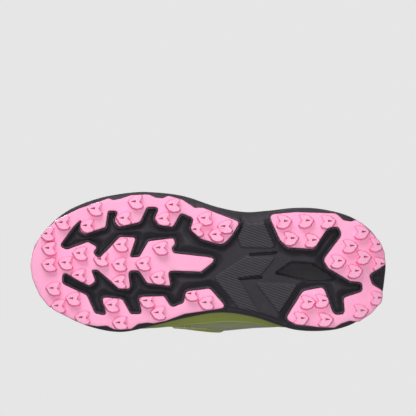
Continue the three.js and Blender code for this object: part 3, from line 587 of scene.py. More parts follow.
def foam_floor_height(xy, rubber_outlines, pads, recess, outer):
    """How far the foam's underside stands above its lowest face, and masks for its material: the
    pads, a painted highlight on the lips, and painted shade in the recess and on the channel
    floors.
    """
    off_rubber = -np.max([outline_distance(xy, line) for line in rubber_outlines], axis=0)
    lip = smooth(off_rubber, 0.3, 0.55) * (1 - smooth(off_rubber, 1.15, 1.5))
    height = -LIP_HEIGHT * lip
    open_ground = smooth(off_rubber, 1.4, 2.4)
    crest = CREST_HEIGHT - CREST_SLOPE * np.clip(off_rubber - 2.4, 0, 5)
    height += open_ground * crest
    pad_mask = np.zeros(len(xy))
    for pad in pads:
        inside = outline_distance(xy, pad)
        share = smooth(inside, -0.2, 0.9)
        height = mix(height, -PAD_PROUD, share)
        pad_mask = np.maximum(pad_mask, smooth(inside, 0.2, 0.6))
    for start, finish, width in SLOTS:
        a, b = np.array(start, float), np.array(finish, float)
        t = np.clip(((xy - a) @ (b - a)) / ((b - a) @ (b - a)), 0, 1)
        gone = np.linalg.norm(xy - (a + t[:, None] * (b - a)), axis=1)
        height += SLOT_DEPTH * (1 - smooth(gone, width * 0.4, width)) * (off_rubber > 1)
    sunk = smooth(outline_distance(xy, recess), -0.3, 1.6)
    height = mix(height, RECESS_DEPTH - 0.3, sunk * smooth(off_rubber, 0.3, 1.2))
    edge = outline_distance(xy, outer)
    height = np.where(edge < 0.05, np.clip(height, -0.3, 2.0), height)
    height += 0.9 * (1 - smooth(edge, 0.0, 1.4)) * (off_rubber > 0.3)
    height = np.where(off_rubber < 0.28, 0.0, height)
    return height, pad_mask, lip, np.maximum(sunk, open_ground * 0.45)


def foam_body():
    columns, rows = 620, 24
    wall = foam_walls(columns, rows)
    outer = wall[0][:, :2]
    sheets = [rounded_outline(c, 4, 2.0) for c in (FOREFOOT_CORNERS, HEEL_CORNERS)]
    pads = [rounded_outline(c, 4, 2.0) for c in PAD_CORNERS]
    recess = rounded_outline(RECESS_CORNERS, 4, 2.0)
    loops = []
    for line in sheets:
        for out in (0.3, 0.58, 1.15, 1.5, 2.4):
            loops.append(offset_outline(line, out))
    for line in pads:
        loops.extend(offset_outline(line, -d) for d in (-0.3, 0.3, 0.9))
    loops.extend(offset_outline(recess, -d) for d in (-0.3, 0.6, 1.6))
    ring_points = np.vstack(loops)
    ring_points = ring_points[outline_distance(ring_points, outer) > 0.7]
    fine = grid_points(outer, 0.95, 0.8)
    off = -np.max([outline_distance(fine, line) for line in sheets], axis=0)
    coarse = np.mod(np.round(fine[:, 1] / 0.95), 5) + np.mod(np.round(fine[:, 0] / 0.95), 5) < 1
    fine = fine[(off > 0.2) | coarse]
    xy, faces = triangulate_plan(outer, [], np.vstack([ring_points, fine]))
    height, pad, lip, deep = foam_floor_height(xy, sheets, pads, recess, outer)
    points = np.column_stack([xy, foam_bottom(xy[:, 1]) + height])
    if len(rim_of(faces)) != columns:
        raise RuntimeError("the foam's underside lost its edge")
    # The wall's lowest points follow the underside's rim.
    drop = points[:columns, 2] - wall[0][:, 2]
    fade = np.linspace(1, 0, rows) ** 3
    wall[:, :, 2] += drop[None, :] * fade[:, None]
    total = len(points)
    vertices = [points] + [wall[k] for k in range(1, rows)]
    down = [tuple(reversed(f)) for f in faces]
    sides = []
    row_start = lambda k: 0 if k == 0 else total + (k - 1) * columns
    for k in range(rows - 1):
        for i in range(columns):
            j = (i + 1) % columns
            low, high = row_start(k), row_start(k + 1)
            sides.append((low + i, low + j, high + j, high + i))
    top = wall[-1][:, :2]
    lid_xy, lid_faces = triangulate_plan(top, [], grid_points(top, 9, 3))
    lid = np.column_stack([lid_xy, foam_top(lid_xy[:, 1])])
    last = row_start(rows - 1)
    base = total + (rows - 1) * columns
    place = lambda i: last + i if i < columns else base + i - columns
    up = [tuple(place(i) for i in f) for f in lid_faces]
    vertices = np.vstack(vertices + [lid[columns:]])
    lay = np.zeros((len(vertices), 3))
    # The lay holds the pad mask, the lip mask for a painted highlight, and the painted shade of the
    # recess and the channels.
    lay[:total] = np.column_stack([pad, lip, deep])
    return vertices, down + sides + up, lay


# ---- Skins that follow the upper ----------------------------------------------------------------
def skin_mesh(name, place, outer, inner, columns, rows, wraps=False):
    """A closed skin on the upper. place(a, b) gives u and v; outer and inner are offsets in mm.
    The lay attribute holds mm along, mm across and mm from the nearest edge."""
    a = np.arange(columns + (0 if wraps else 1)) / columns
    b = np.linspace(0, 1, rows + 1)
    A, B = np.meshgrid(a, b, indexing="ij")
    u, v = place(A, B)
    face = upper_surface(u, v)
    across = np.concatenate([np.zeros_like(face[:, :1, 0]),
                             np.cumsum(np.linalg.norm(np.diff(face, axis=1), axis=2), 1)], 1)
    along = np.concatenate([np.zeros_like(face[:1, :, 0]),
                            np.cumsum(np.linalg.norm(np.diff(face, axis=0), axis=2), 0)], 0)
    edge = np.minimum(across, across[:, -1:] - across)
    if not wraps:
        edge = np.minimum(edge, np.minimum(along, along[-1:] - along))
    lay = np.stack([np.broadcast_to(along.mean(1, keepdims=True), edge.shape), across, edge], -1)
    out = upper_axes(u, v)[2]
    amount = lambda f: (f(u, v, edge) if callable(f) else np.full(edge.shape, float(f)))[..., None]
    outer_grid = face + out * amount(outer)
    inner_grid = face + out * amount(inner)
    return grid_skin(name, outer_grid, inner_grid, lay, wraps)


def grid_skin(name, outer_grid, inner_grid, lay, wraps):
    columns, lines = outer_grid.shape[:2]
    count = columns * lines
    at = lambda i, j, k: k * count + (i % columns) * lines + j
    spans = columns if wraps else columns - 1
    i, j = np.meshgrid(np.arange(spans), np.arange(lines - 1), indexing="ij")
    i, j = i.ravel(), j.ravel()
    faces = [np.stack([at(i, j, 0), at(i + 1, j, 0), at(i + 1, j + 1, 0), at(i, j + 1, 0)], 1),
             np.stack([at(i, j, 1), at(i, j + 1, 1), at(i + 1, j + 1, 1), at(i + 1, j, 1)], 1)]
    i = np.arange(spans)
    last = lines - 1
    faces.append(np.stack([at(i, 0, 0), at(i, 0, 1), at(i + 1, 0, 1), at(i + 1, 0, 0)], 1))
    faces.append(np.stack([at(i, last, 0), at(i + 1, last, 0),
                           at(i + 1, last, 1), at(i, last, 1)], 1))
    if not wraps:
        j, end = np.arange(lines - 1), columns - 1
        faces.append(np.stack([at(0, j, 0), at(0, j + 1, 0), at(0, j + 1, 1), at(0, j, 1)], 1))
        faces.append(np.stack([at(end, j, 0), at(end, j, 1),
                               at(end, j + 1, 1), at(end, j + 1, 0)], 1))
    points = np.vstack([outer_grid.reshape(-1, 3), inner_grid.reshape(-1, 3)])
    both = np.vstack([lay.reshape(-1, 3)] * 2)
    return make_mesh(name, points, np.vstack(faces).tolist(), both)


def film(edge, low=0.12, high=1.25, radius=1.3):
    """The height of a thin film whose edge is rounded down to the cloth."""
    t = np.clip(edge / radius, 0, 1)
    return low + (high - low) * np.sqrt(np.clip(1 - (1 - t) ** 2, 0, 1))


# ---- Tongue, lace and knot ----------------------------------------------------------------------
THROAT_MIDDLE = (spline(OPENING, 0.25)[0] + spline(OPENING, 0.75)[0]) / 2
TONGUE_CROWN = 0.0125


def tongue_point(along, side, depth):
    half, y, z = np.moveaxis(spline(TONGUE_LINE, along, False), -1, 0)
    ahead = unit(spline(TONGUE_LINE, np.clip(along + 1e-4, 0, 1), False)
                 - spline(TONGUE_LINE, np.clip(along - 1e-4, 0, 1), False))
    x = half * side
    point = np.stack([THROAT_MIDDLE + x, y - 0 * x, z - TONGUE_CROWN * x * x], -1)
    up = np.stack([np.zeros_like(ahead[..., 0]), -ahead[..., 2], ahead[..., 1]], -1)
    return point - unit(up) * np.asarray(depth)[..., None]


LOOP_TURNS = mix(0.102, 0.303, np.arange(LOOP_ROWS) / (LOOP_ROWS - 1))
OVERLAY_TOP = OVERLAY_GAP + OVERLAY_THICKNESS
LACE_HEIGHT = OVERLAY_TOP + GAP + LACE_CLEARANCE * 0.6 + LACE_RADIUS
STRAIGHT = LOOP_WIDTH / 2 + LACE_RADIUS + 3 * LACE_CLEARANCE


def lace_point(u, run):
    along, _, out = upper_axes(u, LOOP_V)
    return upper_surface(u, LOOP_V) + out * LACE_HEIGHT + along * run


def tongue_height(y):
    t = np.linspace(0, 1, 101)
    line = spline(TONGUE_LINE, t, False)
    return line[np.argmin(np.abs(line[:, 1] - y)), 2]


def crossing(from_u, to_u, storey):
    middle = (lace_point(from_u, 0) + lace_point(to_u, 0)) / 2
    middle[2] = (tongue_height(middle[1]) + LACE_CLEARANCE + LACE_RADIUS + 1
                 + storey * (2 * LACE_RADIUS + LACE_CLEARANCE))
    return middle


def over_edge(u, next_u, storey):
    place = mix(u, next_u, 0.25)
    height = OVERLAY_TOP + LACE_RADIUS + LACE_CLEARANCE + 0.7 * storey
    return upper_surface(place, 1.0) + upper_axes(place, 0.995)[2] * height


KNOT_TURN = LOOP_TURNS[-1]
KNOT = crossing(KNOT_TURN, 1 - KNOT_TURN, 0) + [0, 6, 0]
KNOT[2] = tongue_height(KNOT[1]) + 1.6 * 4


def strand(starts_lateral, storey):
    points = []
    step = LOOP_TURNS[1] - LOOP_TURNS[0]
    for row in range(LOOP_ROWS):
        lateral = starts_lateral == (row % 2 == 0)
        way = 1 if lateral else -1
        u = LOOP_TURNS[row] if lateral else 1 - LOOP_TURNS[row]
        points += [lace_point(u, -way * STRAIGHT), lace_point(u, 0), lace_point(u, way * STRAIGHT)]
        points.append(over_edge(u, u + way * step * 1.6, storey))
        if row < LOOP_ROWS - 1:
            nxt = 1 - LOOP_TURNS[row + 1] if lateral else LOOP_TURNS[row + 1]
            points += [crossing(u, nxt, storey), over_edge(nxt, nxt + way * step * 1.6, storey)]
    return points


def lace_ends(side):
    turn = lambda u: u if side > 0 else 1 - u
    rest = OVERLAY_TOP + LACE_RADIUS + 2.2
    at = lambda u, v, height: upper_point(turn(u), v, height)
    bow = [KNOT, at(0.298, 0.98, rest + 3.5), at(0.282, 0.85, rest + 2.6), at(0.262, 0.74, rest),
           at(0.24, 0.69, rest), at(0.228, 0.745, rest), at(0.244, 0.85, rest + 2.8),
           at(0.272, 0.97, rest + 4), KNOT]
    tail = [KNOT, at(0.318, 0.98, rest + 3.2), at(0.328, 0.87, rest + 2), at(0.338, 0.77, rest),
            at(0.351, 0.71, rest - 1), at(0.366, 0.68, rest - 1)]
    return bow, tail


def sweep(points, radius, sides, step, flat=1.0):
    """A tube along a curve, as grids of points; lay holds mm along and mm round."""
    t = np.linspace(0, 1, 4000)
    line = spline(points, t, False, True)
    run = np.concatenate([[0], np.cumsum(np.linalg.norm(np.diff(line, axis=0), axis=1))])
    count = int(run[-1] / step) + 2
    steps = np.linspace(0, run[-1], count)
    middle = np.stack([np.interp(steps, run, line[:, k]) for k in range(3)], 1)
    way = unit(np.gradient(middle, axis=0))
    normal = np.cross(way[0], [0, 0, 1.0])
    frames = []
    for direction in way:
        normal = unit(normal - direction * (normal @ direction))
        frames.append(normal)
    normal = np.array(frames)
    other = np.cross(way, normal)
    angle = np.arange(sides) / sides * 2 * np.pi
    ring = (normal[:, None] * np.cos(angle)[None, :, None]
            + other[:, None] * np.sin(angle)[None, :, None] * flat)
    grid = middle[:, None] + ring * radius
    lay = np.stack(np.broadcast_arrays(steps[:, None], angle[None] * radius, 0.0), -1)
    return grid, lay


def tube_parts(grid, lay, start):
    rows, sides = grid.shape[:2]
    faces = []
    for i in range(rows - 1):
        for j in range(sides):
            k = (j + 1) % sides
            faces.append((start + i * sides + j, start + i * sides + k,
                          start + (i + 1) * sides + k, start + (i + 1) * sides + j))
    first = tuple(start + j for j in reversed(range(sides)))
    last = tuple(start + (rows - 1) * sides + j for j in range(sides))
    return grid.reshape(-1, 3), faces + [first, last], lay.reshape(-1, 3)


# ---- Node helpers -------------------------------------------------------------------------------
def put(tree, kind, values=None, **settings):
    """Adds a node; values holds its inputs by name or number: plain values or other sockets."""
    node = tree.nodes.new("ShaderNode" + kind)
    for key, value in settings.items():
        setattr(node, key, value)
    for key, value in (values or {}).items():
        if isinstance(value, bpy.types.NodeSocket):
            tree.links.new(value, node.inputs[key])
        else:
            node.inputs[key].default_value = value
    return node


def calc(tree, operation, a, b=0.0, c=0.0):
    return put(tree, "Math", {0: a, 1: b, 2: c}, operation=operation).outputs[0]


def times(tree, a, b):
    return calc(tree, "MULTIPLY", a, b)


def times_plus(tree, a, b, c):
    return calc(tree, "MULTIPLY_ADD", a, b, c)


def plus(tree, a, b):
    return calc(tree, "ADD", a, b)


def minus(tree, a, b):
    return calc(tree, "SUBTRACT", a, b)


def ramp(tree, value, low, high, to_low=0.0, to_high=1.0):
    """value from low to high becomes to_low to to_high, smoothly."""
    return put(tree, "MapRange", {"Value": value, 1: low, 2: high, 3: to_low, 4: to_high},
               interpolation_type="SMOOTHSTEP").outputs[0]


def blend_colours(tree, share, first, second, way="MIX"):
    node = put(tree, "Mix", {0: share}, data_type="RGBA", blend_type=way)
    for index, value in ((6, first), (7, second)):
        if isinstance(value, bpy.types.NodeSocket):
            tree.links.new(value, node.inputs[index])
        else:
            node.inputs[index].default_value = value
    return node.outputs[2]


def linear(red, green, blue):
    return tuple((c / 255 / 12.92 if c <= 10 else ((c / 255 + 0.055) / 1.055) ** 2.4)
                 for c in (red, green, blue)) + (1.0,)


def new_group(name, inputs, outputs):
    group = bpy.data.node_groups.new(name, "ShaderNodeTree")
    for title, kind, value in inputs:
        socket = group.interface.new_socket(title, in_out="INPUT", socket_type="NodeSocket" + kind)
        if value is not None:
            socket.default_value = value
    for title, kind in outputs:
        group.interface.new_socket(title, in_out="OUTPUT", socket_type="NodeSocket" + kind)
    source = group.nodes.new("NodeGroupInput")
    sink = group.nodes.new("NodeGroupOutput")
    return group, source.outputs, sink.inputs


def grain_group():
    group, given, out = new_group(
        "Moulded grain",
        [("Vector", "Vector", None), ("Size", "Float", 1.0), ("Unevenness", "Float", 0.5)],
        [("Height", "Float"), ("Shade", "Float")])
    finer = times(group, given["Size"], 4.3)
    coarse = put(group, "TexNoise", {"Vector": given["Vector"], "Scale": given["Size"],
                                     "Detail": 3.0, "Roughness": 0.6}).outputs[0]
    fine = put(group, "TexVoronoi", {"Vector": given["Vector"], "Scale": finer}).outputs[0]
    both = times_plus(group, coarse, 0.6, times(group, fine, 0.4))
    group.links.new(both, out["Height"])
    broad = times(group, given["Size"], 0.06)
    wide = put(group, "TexNoise", {"Vector": given["Vector"], "Scale": broad,
                                   "Detail": 4.0}).outputs[0]
    shade = times(group, minus(group, wide, 0.5), given["Unevenness"])
    group.links.new(plus(group, shade, 0.5), out["Shade"])
    return group


def dust_group():
    group, given, out = new_group(
        "Dust and scuffs", [("Vector", "Vector", None), ("Amount", "Float", 0.3)],
        [("Mask", "Float"), ("Rough", "Float")])
    spots = put(group, "TexNoise", {"Vector": given["Vector"], "Scale": 260.0, "Detail": 6.0,
                                    "Roughness": 0.7}).outputs[0]
    patches = put(group, "TexNoise", {"Vector": given["Vector"], "Scale": 22.0,
                                      "Detail": 3.0}).outputs[0]
    seen = times(group, ramp(group, spots, 0.48, 0.72), ramp(group, patches, 0.4, 0.65))
    mask = times(group, seen, given["Amount"])
    group.links.new(mask, out["Mask"])
    group.links.new(times(group, mask, 0.4), out["Rough"])
    return group


def wear_group():
    group, given, out = new_group(
        "Edge wear", [("Edge", "Float", 0.0), ("Vector", "Vector", None), ("Amount", "Float", 0.5)],
        [("Mask", "Float")])
    noise = put(group, "TexNoise", {"Vector": given["Vector"], "Scale": 420.0,
                                    "Detail": 3.0}).outputs[0]
    broken = times(group, given["Edge"], ramp(group, noise, 0.35, 0.65))
    group.links.new(times(group, broken, given["Amount"]), out["Mask"])
    return group


def weave_group():
    group, given, out = new_group(
        "Woven threads",
        [("Lay", "Vector", None), ("Pitch", "Float", 1.0), ("Slant", "Float", 0.0)],
        [("Height", "Float"), ("Shade", "Float")])
    axes = put(group, "SeparateXYZ", {0: given["Lay"]}).outputs
    turn = calc(group, "DIVIDE", math.pi, given["Pitch"])
    x = times(group, times_plus(group, axes[1], given["Slant"], axes[0]), turn)
    slanted = times(group, axes[0], given["Slant"])
    y = times(group, minus(group, axes[1], slanted), turn)
    over = times(group, calc(group, "SINE", x), calc(group, "SINE", y))
    warp = calc(group, "ABSOLUTE", calc(group, "SINE", x))
    weft = calc(group, "ABSOLUTE", calc(group, "SINE", y))
    up = ramp(group, over, -0.2, 0.2)
    height = put(group, "Mix", {0: up, 2: warp, 3: weft}, data_type="FLOAT").outputs[0]
    group.links.new(height, out["Height"])
    fuzz = put(group, "TexNoise", {"Vector": given["Lay"], "Scale": 2.2, "Detail": 4.0}).outputs[0]
    group.links.new(times_plus(group, height, 0.5, times(group, fuzz, 0.5)), out["Shade"])
    return group


def open_mesh_group():
    group, given, out = new_group(
        "Open mesh", [("Lay", "Vector", None), ("Pitch", "Float", 2.0), ("Openness", "Float", 0.5)],
        [("Hole", "Float"), ("Height", "Float")])
    axes = put(group, "SeparateXYZ", {0: given["Lay"]}).outputs
    x = calc(group, "DIVIDE", axes[0], given["Pitch"])
    y = calc(group, "DIVIDE", axes[1], times(group, given["Pitch"], 0.62))
    row = calc(group, "MODULO", calc(group, "FLOOR", y), 2.0)
    local_x = minus(group, calc(group, "FRACT", times_plus(group, row, 0.5, x)), 0.5)
    local_y = minus(group, calc(group, "FRACT", y), 0.5)
    gone = calc(group, "SQRT", plus(group, times(group, local_x, local_x),
                                    times(group, local_y, times(group, local_y, 0.8))))
    size = times(group, given["Openness"], 0.6)
    hole = minus(group, 1.0, ramp(group, minus(group, gone, size), -0.08, 0.06))
    group.links.new(hole, out["Hole"])
    knit = calc(group, "ABSOLUTE", calc(group, "SINE", times(group, axes[1], 5.2)))
    group.links.new(times_plus(group, knit, 0.25, minus(group, 1.0, hole)), out["Height"])
    return group


def stitch_group():
    group, given, out = new_group(
        "Stitching", [("Lay", "Vector", None), ("Inset", "Float", 2.4), ("Length", "Float", 3.0)],
        [("Thread", "Float"), ("Height", "Float")])
    axes = put(group, "SeparateXYZ", {0: given["Lay"]}).outputs
    off = calc(group, "ABSOLUTE", minus(group, axes[2], given["Inset"]))
    run = calc(group, "DIVIDE", plus(group, axes[0], axes[1]), given["Length"])
    dash = calc(group, "ABSOLUTE", minus(group, calc(group, "FRACT", run), 0.5))
    thread = times(group, ramp(group, off, 0.45, 0.3), ramp(group, dash, 0.38, 0.32))
    group.links.new(thread, out["Thread"])
    groove = ramp(group, off, 0.9, 0.3)
    group.links.new(minus(group, thread, times(group, groove, 0.5)), out["Height"])
    return group


GROUPS = {}


def effect(tree, name, values):
    makers = {"grain": grain_group, "dust": dust_group, "wear": wear_group, "weave": weave_group,
              "open_mesh": open_mesh_group, "stitching": stitch_group}
    if name not in GROUPS:
        GROUPS[name] = makers[name]()
    node = tree.nodes.new("ShaderNodeGroup")
    node.node_tree = GROUPS[name]
    for key, value in values.items():
        if isinstance(value, bpy.types.NodeSocket):
            tree.links.new(value, node.inputs[key])
        else:
            node.inputs[key].default_value = value
    return node.outputs


class Finish:
    """A material under way: its tree, its shader, and the vectors that its patterns follow."""

    def __init__(self, name):
        self.material = bpy.data.materials.new(name)
        self.material.use_nodes = True
        self.tree = self.material.node_tree
        self.shader = self.tree.nodes["Principled BSDF"]
        self.place = put(self.tree, "TexCoord").outputs["Object"]
        given = put(self.tree, "Attribute", attribute_name="lay", attribute_type="GEOMETRY")
        self.lay = given.outputs["Vector"]

    def close(self, colour, rough, height, relief, **plain):
        self.tree.links.new(colour, self.shader.inputs["Base Color"])
        if isinstance(rough, bpy.types.NodeSocket):
            self.tree.links.new(rough, self.shader.inputs["Roughness"])
        else:
            self.shader.inputs["Roughness"].default_value = rough
        bump = put(self.tree, "Bump", {"Strength": 1.0, "Distance": relief / 1000,
                                       "Height": height})
        self.tree.links.new(bump.outputs[0], self.shader.inputs["Normal"])
        for key, value in plain.items():
            self.shader.inputs[key.replace("_", " ")].default_value = value
        return self.material


def rubber_finish(settings):
    f = Finish("Pink rubber")
    t = f.tree
    axes = put(t, "SeparateXYZ", {0: f.lay}).outputs
    grain = effect(t, "grain", {"Vector": f.place, "Size": 900.0, "Unevenness": 0.5})
    deep = tuple(settings.rubber_shade_and_tone) + (1,)
    face = blend_colours(t, times(t, grain["Shade"], 0.35), tuple(settings.rubber) + (1,), deep)
    # Painted shade: the walls of the lugs and the sheet's rounded edge are coloured deeper pink.
    side = blend_colours(t, times(t, axes[0], 0.45), face, deep)
    # Painted shade: the sipe pits are coloured dark red.
    sipe_shaded = blend_colours(t, times(t, axes[1], 0.85), side, linear(186, 24, 66))
    worn = effect(t, "wear", {"Edge": times(t, axes[2], 0.5), "Vector": f.place, "Amount": 0.16})
    dulled = blend_colours(t, worn["Mask"], sipe_shaded, linear(236, 214, 220))
    dust = effect(t, "dust", {"Vector": f.place, "Amount": 0.12})
    colour = blend_colours(t, dust["Mask"], dulled, linear(214, 196, 190))
    rough = plus(t, times_plus(t, grain["Height"], 0.16, 0.42), dust["Rough"])
    return f.close(colour, rough, grain["Height"], 0.05, Specular_IOR_Level=0.35)


def foam_finish(settings, sizes):
    f = Finish("Black foam")
    t = f.tree
    axes = put(t, "SeparateXYZ", {0: f.lay}).outputs
    grain = effect(t, "grain", {"Vector": f.place, "Size": 620.0, "Unevenness": 0.8})
    base = tuple(settings.foam) + (1,)
    face = blend_colours(t, grain["Shade"], base, linear(60, 57, 64))
    lined = put(t, "SeparateXYZ", {0: f.place}).outputs
    slant = times_plus(t, lined[1], 0.35, lined[0])
    lines = calc(t, "SINE", times(t, slant, 2 * math.pi / sizes.rib_pitch))
    lines = times(t, times_plus(t, lines, 0.5, 0.5), axes[0])
    pads = blend_colours(t, times(t, lines, 0.75), face, linear(80, 77, 84))
    # Painted highlight: the lips round the rubber are coloured lighter.
    lip = blend_colours(t, times(t, axes[1], 0.55), pads, linear(96, 93, 100))
    # Painted shade: the recess and the channel floors are coloured darker.
    sunk = blend_colours(t, times(t, axes[2], 0.5), lip, linear(26, 24, 28))
    dust = effect(t, "dust", {"Vector": f.place, "Amount": 0.1})
    colour = blend_colours(t, dust["Mask"], sunk, linear(120, 112, 108))
    rough = times_plus(t, grain["Height"], 0.25, 0.5)
    height = times_plus(t, grain["Height"], 0.3, lines)
    return f.close(colour, rough, height, 0.3, Specular_IOR_Level=0.25, Sheen_Weight=0.08,
                   Sheen_Roughness=0.3)


def film_finish(name, colour_value, second, light, sheen_share=0.16):
    f = Finish(name)
    t = f.tree
    grain = effect(t, "grain", {"Vector": f.place, "Size": 700.0, "Unevenness": 0.7})
    weave = effect(t, "weave", {"Lay": f.lay, "Pitch": 1.1, "Slant": 0.6})
    sewn = effect(t, "stitching", {"Lay": f.lay, "Inset": 2.6, "Length": 2.6})
    axes = put(t, "SeparateXYZ", {0: f.lay}).outputs
    base = blend_colours(t, grain["Shade"], colour_value, second)
    sheen = blend_colours(t, times(t, weave["Height"], sheen_share), base, light)
    edge = ramp(t, axes[2], 1.3, 0.1)
    worn = effect(t, "wear", {"Edge": edge, "Vector": f.place, "Amount": 0.5})
    dulled = blend_colours(t, worn["Mask"], sheen, light)
    thread = blend_colours(t, sewn["Thread"], dulled, light)
    dust = effect(t, "dust", {"Vector": f.place, "Amount": 0.07})
    colour = blend_colours(t, dust["Mask"], thread, linear(170, 162, 150))
    rough = plus(t, times_plus(t, grain["Height"], 0.2, 0.5), times(t, sewn["Thread"], 0.2))
    height = plus(t, times(t, weave["Height"], 0.22), sewn["Height"])
    return f.close(colour, rough, height, 0.35, Specular_IOR_Level=0.28)


def mesh_finish(settings, sizes):
    f = Finish("Lime mesh")
    t = f.tree
    openings = effect(t, "open_mesh", {"Lay": f.lay, "Pitch": sizes.mesh_pitch * 1000,
                                       "Openness": 0.5})
    weave = effect(t, "weave", {"Lay": f.lay, "Pitch": 0.55, "Slant": 0.0})
    grain = effect(t, "grain", {"Vector": f.place, "Size": 300.0, "Unevenness": 1.0})
    yarn = blend_colours(t, weave["Shade"], tuple(settings.mesh) + (1,), linear(196, 200, 168))
    tone = blend_colours(t, times(t, grain["Shade"], 0.5), yarn, linear(110, 120, 62))
    holes = blend_colours(t, times(t, openings["Hole"], 0.88), tone, linear(46, 50, 26))
    dust = effect(t, "dust", {"Vector": f.place, "Amount": 0.25})
    colour = blend_colours(t, dust["Mask"], holes, linear(180, 172, 158))
    rough = times_plus(t, weave["Shade"], 0.2, 0.68)
    height = plus(t, openings["Height"], times(t, weave["Height"], 0.25))
    return f.close(colour, rough, height, 0.5, Sheen_Weight=0.25, Sheen_Roughness=0.5)


def cloth_finish(name, colour_value, second, pitch=0.8, on_object=False, relief=0.3):
    """Knitted cloth. Where a piece has no lay of its own, the knit follows its place."""
    f = Finish(name)
    t = f.tree
    where = f.lay
    if on_object:
        where = put(t, "Mapping", {"Vector": f.place, "Scale": (1000, 1000, 1000)}).outputs[0]
    weave = effect(t, "weave", {"Lay": where, "Pitch": pitch, "Slant": 0.4})
    grain = effect(t, "grain", {"Vector": f.place, "Size": 260.0, "Unevenness": 1.0})
    base = blend_colours(t, weave["Shade"], colour_value, second)
    tone = blend_colours(t, times(t, grain["Shade"], 0.35), base, second)
    dust = effect(t, "dust", {"Vector": f.place, "Amount": 0.2})
    colour = blend_colours(t, dust["Mask"], tone, linear(150, 144, 136))
    rough = times_plus(t, weave["Shade"], 0.15, 0.78)
    height = plus(t, weave["Height"], times(t, grain["Height"], 0.3))
    return f.close(colour, rough, height, relief, Sheen_Weight=0.3, Sheen_Roughness=0.4)


def lace_finish(settings):
    f = Finish("Braided lace")
    t = f.tree
    braid = effect(t, "weave", {"Lay": f.lay, "Pitch": 1.05, "Slant": 1.0})
    grain = effect(t, "grain", {"Vector": f.place, "Size": 500.0, "Unevenness": 0.6})
    axes = put(t, "SeparateXYZ", {0: f.lay}).outputs
    fleck = times(t, ramp(t, calc(t, "SINE", times(t, axes[0], 1.1)), 0.86, 0.96),
                 ramp(t, braid["Height"], 0.4, 0.7))
    base = blend_colours(t, braid["Shade"], tuple(settings.lace) + (1,), linear(252, 206, 224))
    flecked = blend_colours(t, times(t, fleck, 0.75), base, linear(74, 70, 78))
    colour = blend_colours(t, times(t, grain["Shade"], 0.2), flecked, linear(190, 110, 140))
    rough = times_plus(t, braid["Shade"], 0.2, 0.6)
    return f.close(colour, rough, braid["Height"], 0.25, Sheen_Weight=0.3)


def tip_finish():
    f = Finish("Lace tip")
    t = f.tree
    grain = effect(t, "grain", {"Vector": f.place, "Size": 300.0, "Unevenness": 0.8})
    worn = effect(t, "wear", {"Edge": grain["Height"], "Vector": f.place, "Amount": 0.3})
    colour = blend_colours(t, worn["Mask"], linear(38, 36, 42), linear(120, 116, 122))
    rough = times_plus(t, grain["Height"], 0.2, 0.15)
    return f.close(colour, rough, grain["Height"], 0.03, Coat_Weight=0.5, Coat_Roughness=0.15)


FINISHES = {}


def finish(name):
    """The material called name, built once."""
    settings, sizes = bpy.context.scene.shoe_colours, bpy.context.scene.shoe_sizes
    lime = tuple(settings.film) + (1,)
    makers = {
        "rubber": lambda: rubber_finish(settings),
        "foam": lambda: foam_finish(settings, sizes),
        "black_film": lambda: film_finish("Black film", linear(36, 34, 40), linear(54, 52, 58),
                                          linear(104, 102, 108), 0.1),
        "lime_film": lambda: film_finish("Lime film", lime, linear(120, 130, 40),
                                         linear(205, 208, 170)),
        "mesh": lambda: mesh_finish(settings, sizes),
        "lining": lambda: cloth_finish("Lining knit", linear(62, 61, 66), linear(92, 90, 96),
                                       on_object=True),
        "tongue": lambda: cloth_finish("Tongue knit", linear(66, 66, 70), linear(98, 98, 104),
                                       on_object=True),
        "insole": lambda: cloth_finish("Insole cloth", linear(64, 62, 70), linear(90, 88, 96), 1.2,
                                       on_object=True),
        "board": lambda: cloth_finish("Board felt", linear(176, 170, 158), linear(206, 200, 188),
                                      0.9, on_object=True),
        "webbing": lambda: cloth_finish("Lime webbing", lime, linear(178, 184, 108), 0.9),
        "lace": lambda: lace_finish(settings),
        "tip": tip_finish,
    }
    if name not in FINISHES:
        FINISHES[name] = makers[name]()
    return FINISHES[name]


# ---- Soft pads ----------------------------------------------------------------------------------
def keep_largest(piece):
    """Deletes the crumbs that a remesh leaves where a pad runs out thin."""
    pairs = np.empty(len(piece.data.edges) * 2, int)
    piece.data.edges.foreach_get("vertices", pairs)
    a, b = pairs.reshape(-1, 2).T
    label = np.arange(len(piece.data.vertices))
    while (label[a] != label[b]).any():
        low = np.minimum(label[a], label[b])
        np.minimum.at(label, a, low)
        np.minimum.at(label, b, low)
        label = label[label]
    crumbs = label != np.bincount(label).argmax()
    if not crumbs.any():
        return
    select_only(piece)
    bpy.ops.object.mode_set(mode="EDIT")
    bpy.ops.mesh.select_mode(type="VERT")
    bpy.ops.mesh.select_all(action="DESELECT")
    bpy.ops.object.mode_set(mode="OBJECT")
    piece.data.vertices.foreach_set("select", crumbs)
    bpy.ops.object.mode_set(mode="EDIT")
    bpy.ops.mesh.delete(type="VERT")
    bpy.ops.object.mode_set(mode="OBJECT")


